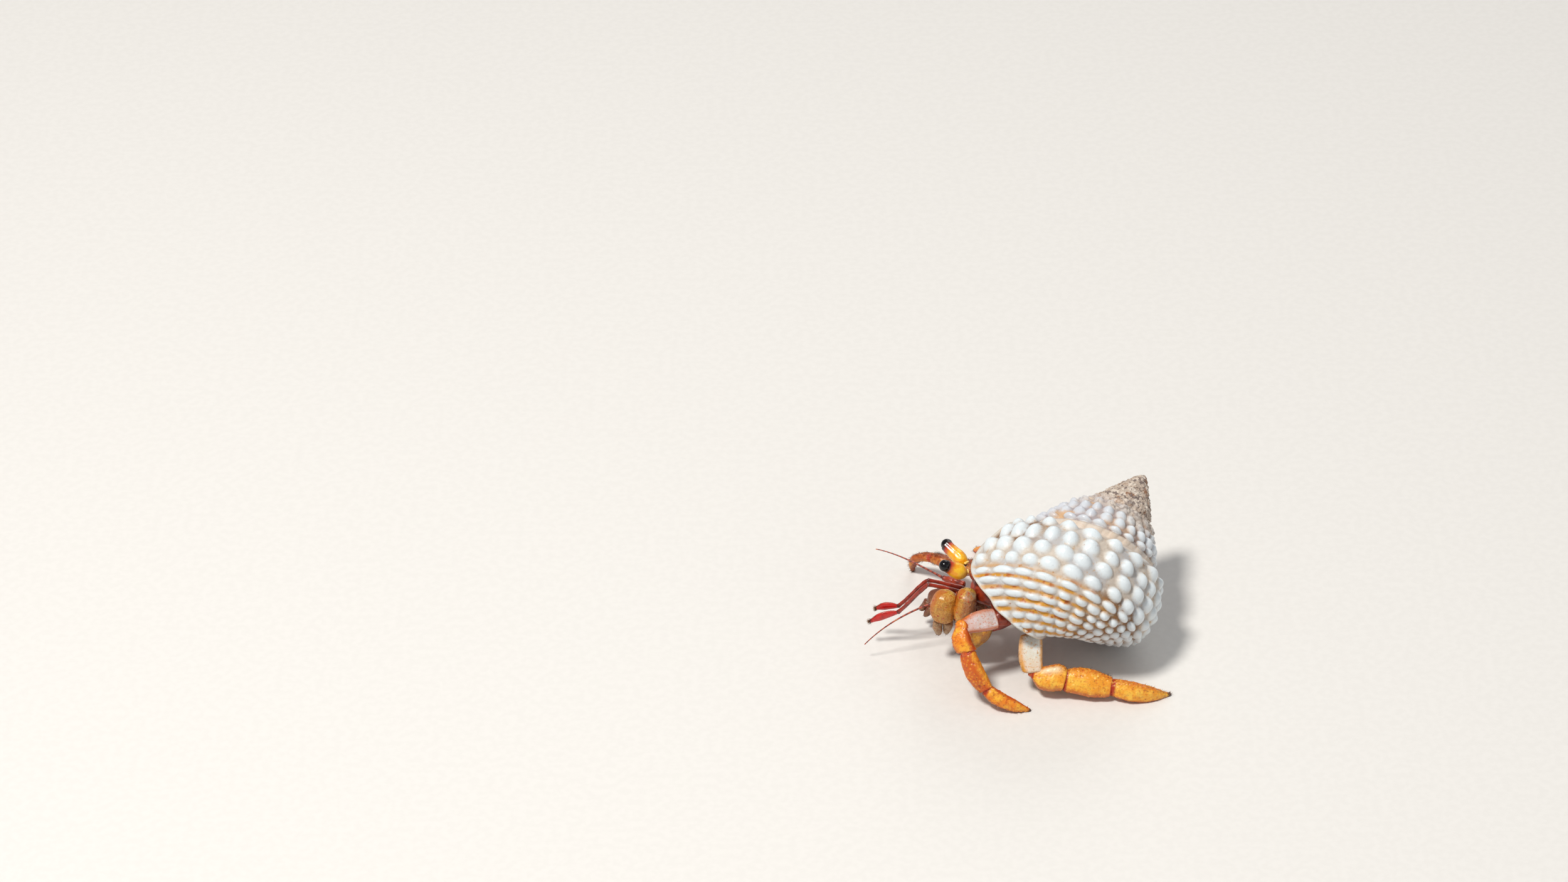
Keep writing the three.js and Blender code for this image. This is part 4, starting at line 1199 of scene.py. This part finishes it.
def shield(finishes):
    points = corners_of("shield")
    limb = Limb("shield", (), (), (0.2, 0, 1), points[np.argmax(points[:, 0])])
    skin = Surface(limb, EVEN, step=0.06, boxy=2.2, start=0.0, stop=1.0)
    rim = skin.masks.pop("edge")
    skin.roughen(0.8, 0.08).knobs(270, 160, 0.14, 0.05, rim, "knob").knobs(271, 60, 0.12, -0.03, rim, "spot")
    skin.masks["ends"] = smoothstep(0.8, 1.0, skin.t)
    skin.made("shield_plate", "shield", finishes["shield"])


# ------------------------------------------------------------------ body

BODY_VOXEL = 0.12 * MM
ROOTED_LIMBS = ["claw_left", *LEGS]
BODY_NODES = ["thorax", "carapace_back", "abdomen_front", "abdomen_back",
              *(f"{limb}_ischium" for limb in ROOTED_LIMBS)]
# The places where two lengths of the body meet, and how thick the skin is there.
BODY_JOINTS = [("abdomen_back", "abdomen_front", 2.4), ("abdomen_front", "carapace_back", 1.7),
               ("abdomen_front", "thorax", 1.7), ("carapace_back", "thorax", 1.1), ("thorax", "shield", 0.6)]


def capsule(begin, end, begin_radius, end_radius, sides=16):
    """A closed rod with round ends, as points and faces."""
    along = unit(end - begin)
    across = unit(np.cross(along, [0.3, 0.5, 0.8]))
    rise = np.cross(along, across)
    turns = np.arange(sides) * TURN / sides
    ring = np.cos(turns)[:, None] * across + np.sin(turns)[:, None] * rise
    steep = math.pi / 2 - 0.1
    rows = []
    for middle, radius, angles in ((begin, begin_radius, np.linspace(-steep, 0, 5)),
                                   (end, end_radius, np.linspace(0, steep, 5))):
        rows += [middle + along * radius * math.sin(angle) + ring * radius * math.cos(angle)
                 for angle in angles]
    points = np.concatenate(rows)
    faces = grid_faces(len(rows), sides)
    faces.append(tuple(range(sides - 1, -1, -1)))
    faces.append(tuple(range((len(rows) - 1) * sides, len(rows) * sides)))
    return points, faces


def body_skin(finishes):
    """One soft skin over the thorax, the abdomen and the roots of the limbs."""
    points, faces = [], []

    def include(more_points, more_faces):
        start = sum(len(part) for part in points)
        points.append(np.asarray(more_points))
        faces.extend([tuple(start + corner for corner in face) for face in more_faces])

    for node in BODY_NODES:
        solid = triangles(node).reshape(-1, 3)
        corners, number = np.unique(np.round(solid, 7), axis=0, return_inverse=True)
        include(corners, number.reshape(-1, 3).tolist())
    for one, other, size in BODY_JOINTS:
        middle = joint_between(one, other)
        way = unit(corners_of(other).mean(axis=0) - corners_of(one).mean(axis=0)) * 0.4 * MM
        include(*capsule(middle - way, middle + way, size * MM, size * MM, 24))
    thorax = corners_of("thorax").mean(axis=0)
    for limb in ROOTED_LIMBS:
        middle = corners_of(f"{limb}_ischium").mean(axis=0)
        joint = joint_between(f"{limb}_ischium", f"{limb}_merus")
        inner = thorax + (middle - thorax) * 0.62
        include(*capsule(inner, middle, 1.1 * MM, 0.8 * MM))
        include(*capsule(middle, joint, 0.7 * MM, 0.62 * MM))
    mesh = bpy.data.meshes.new("body_skin")
    mesh.from_pydata(np.concatenate(points).tolist(), [], faces)
    body = placed("body_skin", mesh)
    bpy.context.view_layer.objects.active = body
    for kind, settings in (("REMESH", {"mode": "VOXEL", "voxel_size": BODY_VOXEL}),
                           ("SMOOTH", {"factor": 0.6, "iterations": 14})):
        modifier = body.modifiers.new(kind.lower(), kind)
        for key, value in settings.items():
            setattr(modifier, key, value)
    made = bpy.data.meshes.new_from_object(body.evaluated_get(bpy.context.evaluated_depsgraph_get()))
    bpy.data.objects.remove(body)
    corners = np.array([corner.co for corner in made.vertices])
    normals = np.array([corner.normal for corner in made.vertices])
    folds = 0.05 * smooth_noise(corners, 0.9 * MM) + 0.03 * smooth_noise(corners, 0.3 * MM)
    corners = corners + normals * (folds * MM)[:, None]
    piece("body_skin", corners, [tuple(face.vertices) for face in made.polygons],
          finishes["flesh"], BODY_NODES)


def stalk_finish():
    made = Finish("stalk", (0.92, 0.38, 0.006), 0.30, 0.3, subsurface=0.1)
    made.over((0.95, 0.56, 0.02), made.between(made.noise(0.6, 3), 0.40, 0.62))
    made.over((0.86, 0.22, 0.004), made.part(made.noise(0.3, 4, (1, 3, 3)), 0.5, 0.7, 0.7))
    # Painted shade along the stalk's underside.
    made.over((0.80, 0.16, 0.004), made.times(made.mask("under"), 0.7))
    made.over((0.95, 0.72, 0.22), made.times(made.mask("pale"), 0.7))
    made.over((0.55, 0.03, 0.005), made.mask("red"))
    made.over((0.02, 0.003, 0.002), made.mask("rim"))
    made.bump(made.noise(0.12, 3), 0.012)
    return made.done()


def cornea_finish():
    made = Finish("cornea", (0.004, 0.003, 0.004), 0.06, 0.0, specular=0.4)
    made.over((0.02, 0.004, 0.004), made.between(made.noise(0.8, 2), 0.5, 0.8))
    made.bump(made.cells(0.05), 0.002, 0.3)
    return made.done()


def antenna_finish():
    made = Finish("antenna", (0.42, 0.07, 0.03), 0.35, 0.2)
    made.over((0.16, 0.02, 0.012), made.mask("band"))
    made.over((0.60, 0.22, 0.08), made.between(made.noise(0.5, 3), 0.6, 0.75))
    made.bump(made.noise(0.1, 2), 0.01)
    return made.done()


DARK_RED = (0.42, 0.03, 0.004)

# Each hard skin: its ground, its pale patches and knobs, its edges, and what sets it apart.
HORN = {
    "leg2_left": ((0.82, 0.24, 0.010), (0.90, 0.43, 0.030), (0.50, 0.04, 0.004), {"joint": DARK_RED}),
    "leg3_left": ((0.86, 0.34, 0.018), (0.92, 0.52, 0.060), (0.58, 0.10, 0.006), {"joint": DARK_RED}),
    "leg2_right": ((0.46, 0.10, 0.010), (0.66, 0.24, 0.03), (0.20, 0.016, 0.004), {"joint": DARK_RED}),
    "leg3_right": ((0.80, 0.24, 0.012), (0.88, 0.44, 0.03), (0.56, 0.055, 0.004), {"joint": DARK_RED}),
    "merus_leg2": ((0.68, 0.54, 0.50), (0.74, 0.67, 0.67), (0.66, 0.15, 0.02),
                   {"spot": (0.55, 0.20, 0.06), "roughness": 0.14, "coat": 0.6}),
    "merus_leg3": ((0.76, 0.72, 0.62), (0.82, 0.80, 0.74), (0.76, 0.34, 0.04),
                   {"spot": (0.42, 0.20, 0.04), "roughness": 0.28, "coat": 0.4}),
    "claw_merus": ((0.46, 0.27, 0.09), (0.78, 0.46, 0.05), (0.36, 0.04, 0.01), {}),
    "shield": ((0.36, 0.09, 0.02), (0.55, 0.22, 0.06), (0.20, 0.02, 0.006), {}),
}
# The claws' ground, their pale scales, and the grooves between them.
CLAW_COLOURS = {
    "claw": ((0.62, 0.35, 0.045), (0.72, 0.50, 0.12), (0.48, 0.12, 0.010)),
    # The far claw's colours: the claw's own, darkened as painted shade.
    "shaded_far_claw": ((0.24, 0.10, 0.04), (0.34, 0.18, 0.08), (0.14, 0.03, 0.012)),
    # The fingers: greyer and darker than the palm, partly their own tone and partly painted shade.
    "finger": ((0.44, 0.30, 0.15), (0.58, 0.46, 0.28), (0.30, 0.12, 0.04)),
}
# Softer skins: ground, dark patches, roughness, wetness, patch size, depth of the folds and glow.
PLAIN = {
    "flesh": ((0.36, 0.040, 0.010), (0.12, 0.010, 0.004), 0.38, 0.2, 0.8, 0.03, 0.0),
    "membrane": ((0.62, 0.10, 0.01), (0.30, 0.02, 0.004), 0.35, 0.2, 0.4, 0.02, 0.0),
    "antennule": ((0.34, 0.028, 0.010), (0.13, 0.012, 0.006), 0.22, 0.6, 0.7, 0.01, 0.2),
    "flagellum": ((0.62, 0.012, 0.008), (0.42, 0.008, 0.006), 0.3, 0.4, 0.4, 0.01, 0.3),
}


def build_crab():
    finishes = {name: horn_finish(name, *colours, **rest) for name, (*colours, rest) in HORN.items()}
    finishes |= {name: claw_finish(name, *colours) for name, colours in CLAW_COLOURS.items()}
    finishes |= {name: plain_finish(name, *looks) for name, looks in PLAIN.items()}
    finishes |= {"antenna": antenna_finish(), "stalk": stalk_finish(), "cornea": cornea_finish(),
                 "bristle": bristle_finish()}
    for leg in LEGS:
        walking_leg(leg, finishes)
    for name in CLAWS:
        claw(name, finishes)
    for side in ("left", "right"):
        eye(side, finishes)
        antennule(side, finishes)
        antenna(side, finishes)
    mouthparts(finishes)
    shield(finishes)
    body_skin(finishes)


# ------------------------------------------------------------------ studio

LENS = 100.0
SENSOR = 36.0
VIEW_WIDTH = 155 * MM
ELEVATION = math.radians(35)
AIM_RIGHT = -22.85 * MM
AIM_UP = 13.05 * MM
FLOOR_REACH = 2.5
# The lamps: place, size, power and colour.
LAMPS = {
    "key": ((-0.20, -0.16, 0.52), 0.11, 2.9, (1.0, 0.97, 0.92)),
    "fill": ((0.50, -0.45, 0.30), 0.50, 0.35, (0.93, 0.96, 1.0)),
    "back": ((0.15, 0.55, 0.40), 0.40, 0.9, (1.0, 0.98, 0.95)),
}


def studio():
    """The camera, the floor, three soft lamps and the sky."""
    middle = Vector((0, 0, 0.45 * CAD_BOX[1][2]))
    away = Vector((0, math.cos(ELEVATION), -math.sin(ELEVATION)))
    up = Vector((0, math.sin(ELEVATION), math.cos(ELEVATION)))
    aim = middle + Vector((AIM_RIGHT, 0, 0)) + up * AIM_UP
    camera = bpy.data.cameras.new("camera")
    camera.lens = LENS
    camera.sensor_width = SENSOR
    camera.clip_start, camera.clip_end = 0.01, 20
    holder = placed("camera", camera)
    holder.location = aim - away * (VIEW_WIDTH * LENS / SENSOR)
    holder.rotation_euler = away.to_track_quat("-Z", "Y").to_euler()
    bpy.context.scene.camera = holder

    floor_mesh = bpy.data.meshes.new("floor")
    corners = [(-FLOOR_REACH, -FLOOR_REACH, 0), (FLOOR_REACH, -FLOOR_REACH, 0),
               (FLOOR_REACH, FLOOR_REACH, 0), (-FLOOR_REACH, FLOOR_REACH, 0)]
    floor_mesh.from_pydata(corners, [], [(0, 1, 2, 3)])
    floor = placed("floor", floor_mesh)
    paper = Finish("floor", (0.77, 0.75, 0.72), roughness=0.85, specular=0.2)
    paper.over((0.79, 0.77, 0.74), paper.between(paper.noise(0.8, 4), 0.35, 0.65))
    floor_mesh.materials.append(paper.done())

    for name, (place, size, power, colour) in LAMPS.items():
        lamp = bpy.data.lights.new(name, "AREA")
        lamp.shape = "DISK"
        lamp.size = size
        lamp.energy = power
        lamp.color = colour
        box = placed(name, lamp)
        box.location = place
        box.rotation_euler = (middle - Vector(place)).to_track_quat("-Z", "Y").to_euler()

    world = bpy.data.worlds.new("world")
    world.use_nodes = True
    sky = world.node_tree.nodes["Background"]
    sky.inputs["Color"].default_value = (0.90, 0.92, 0.95, 1)
    sky.inputs["Strength"].default_value = 0.33
    bpy.context.scene.world = world
    bpy.context.scene.view_settings.view_transform = "Standard"


build_shell()
build_crab()
studio()
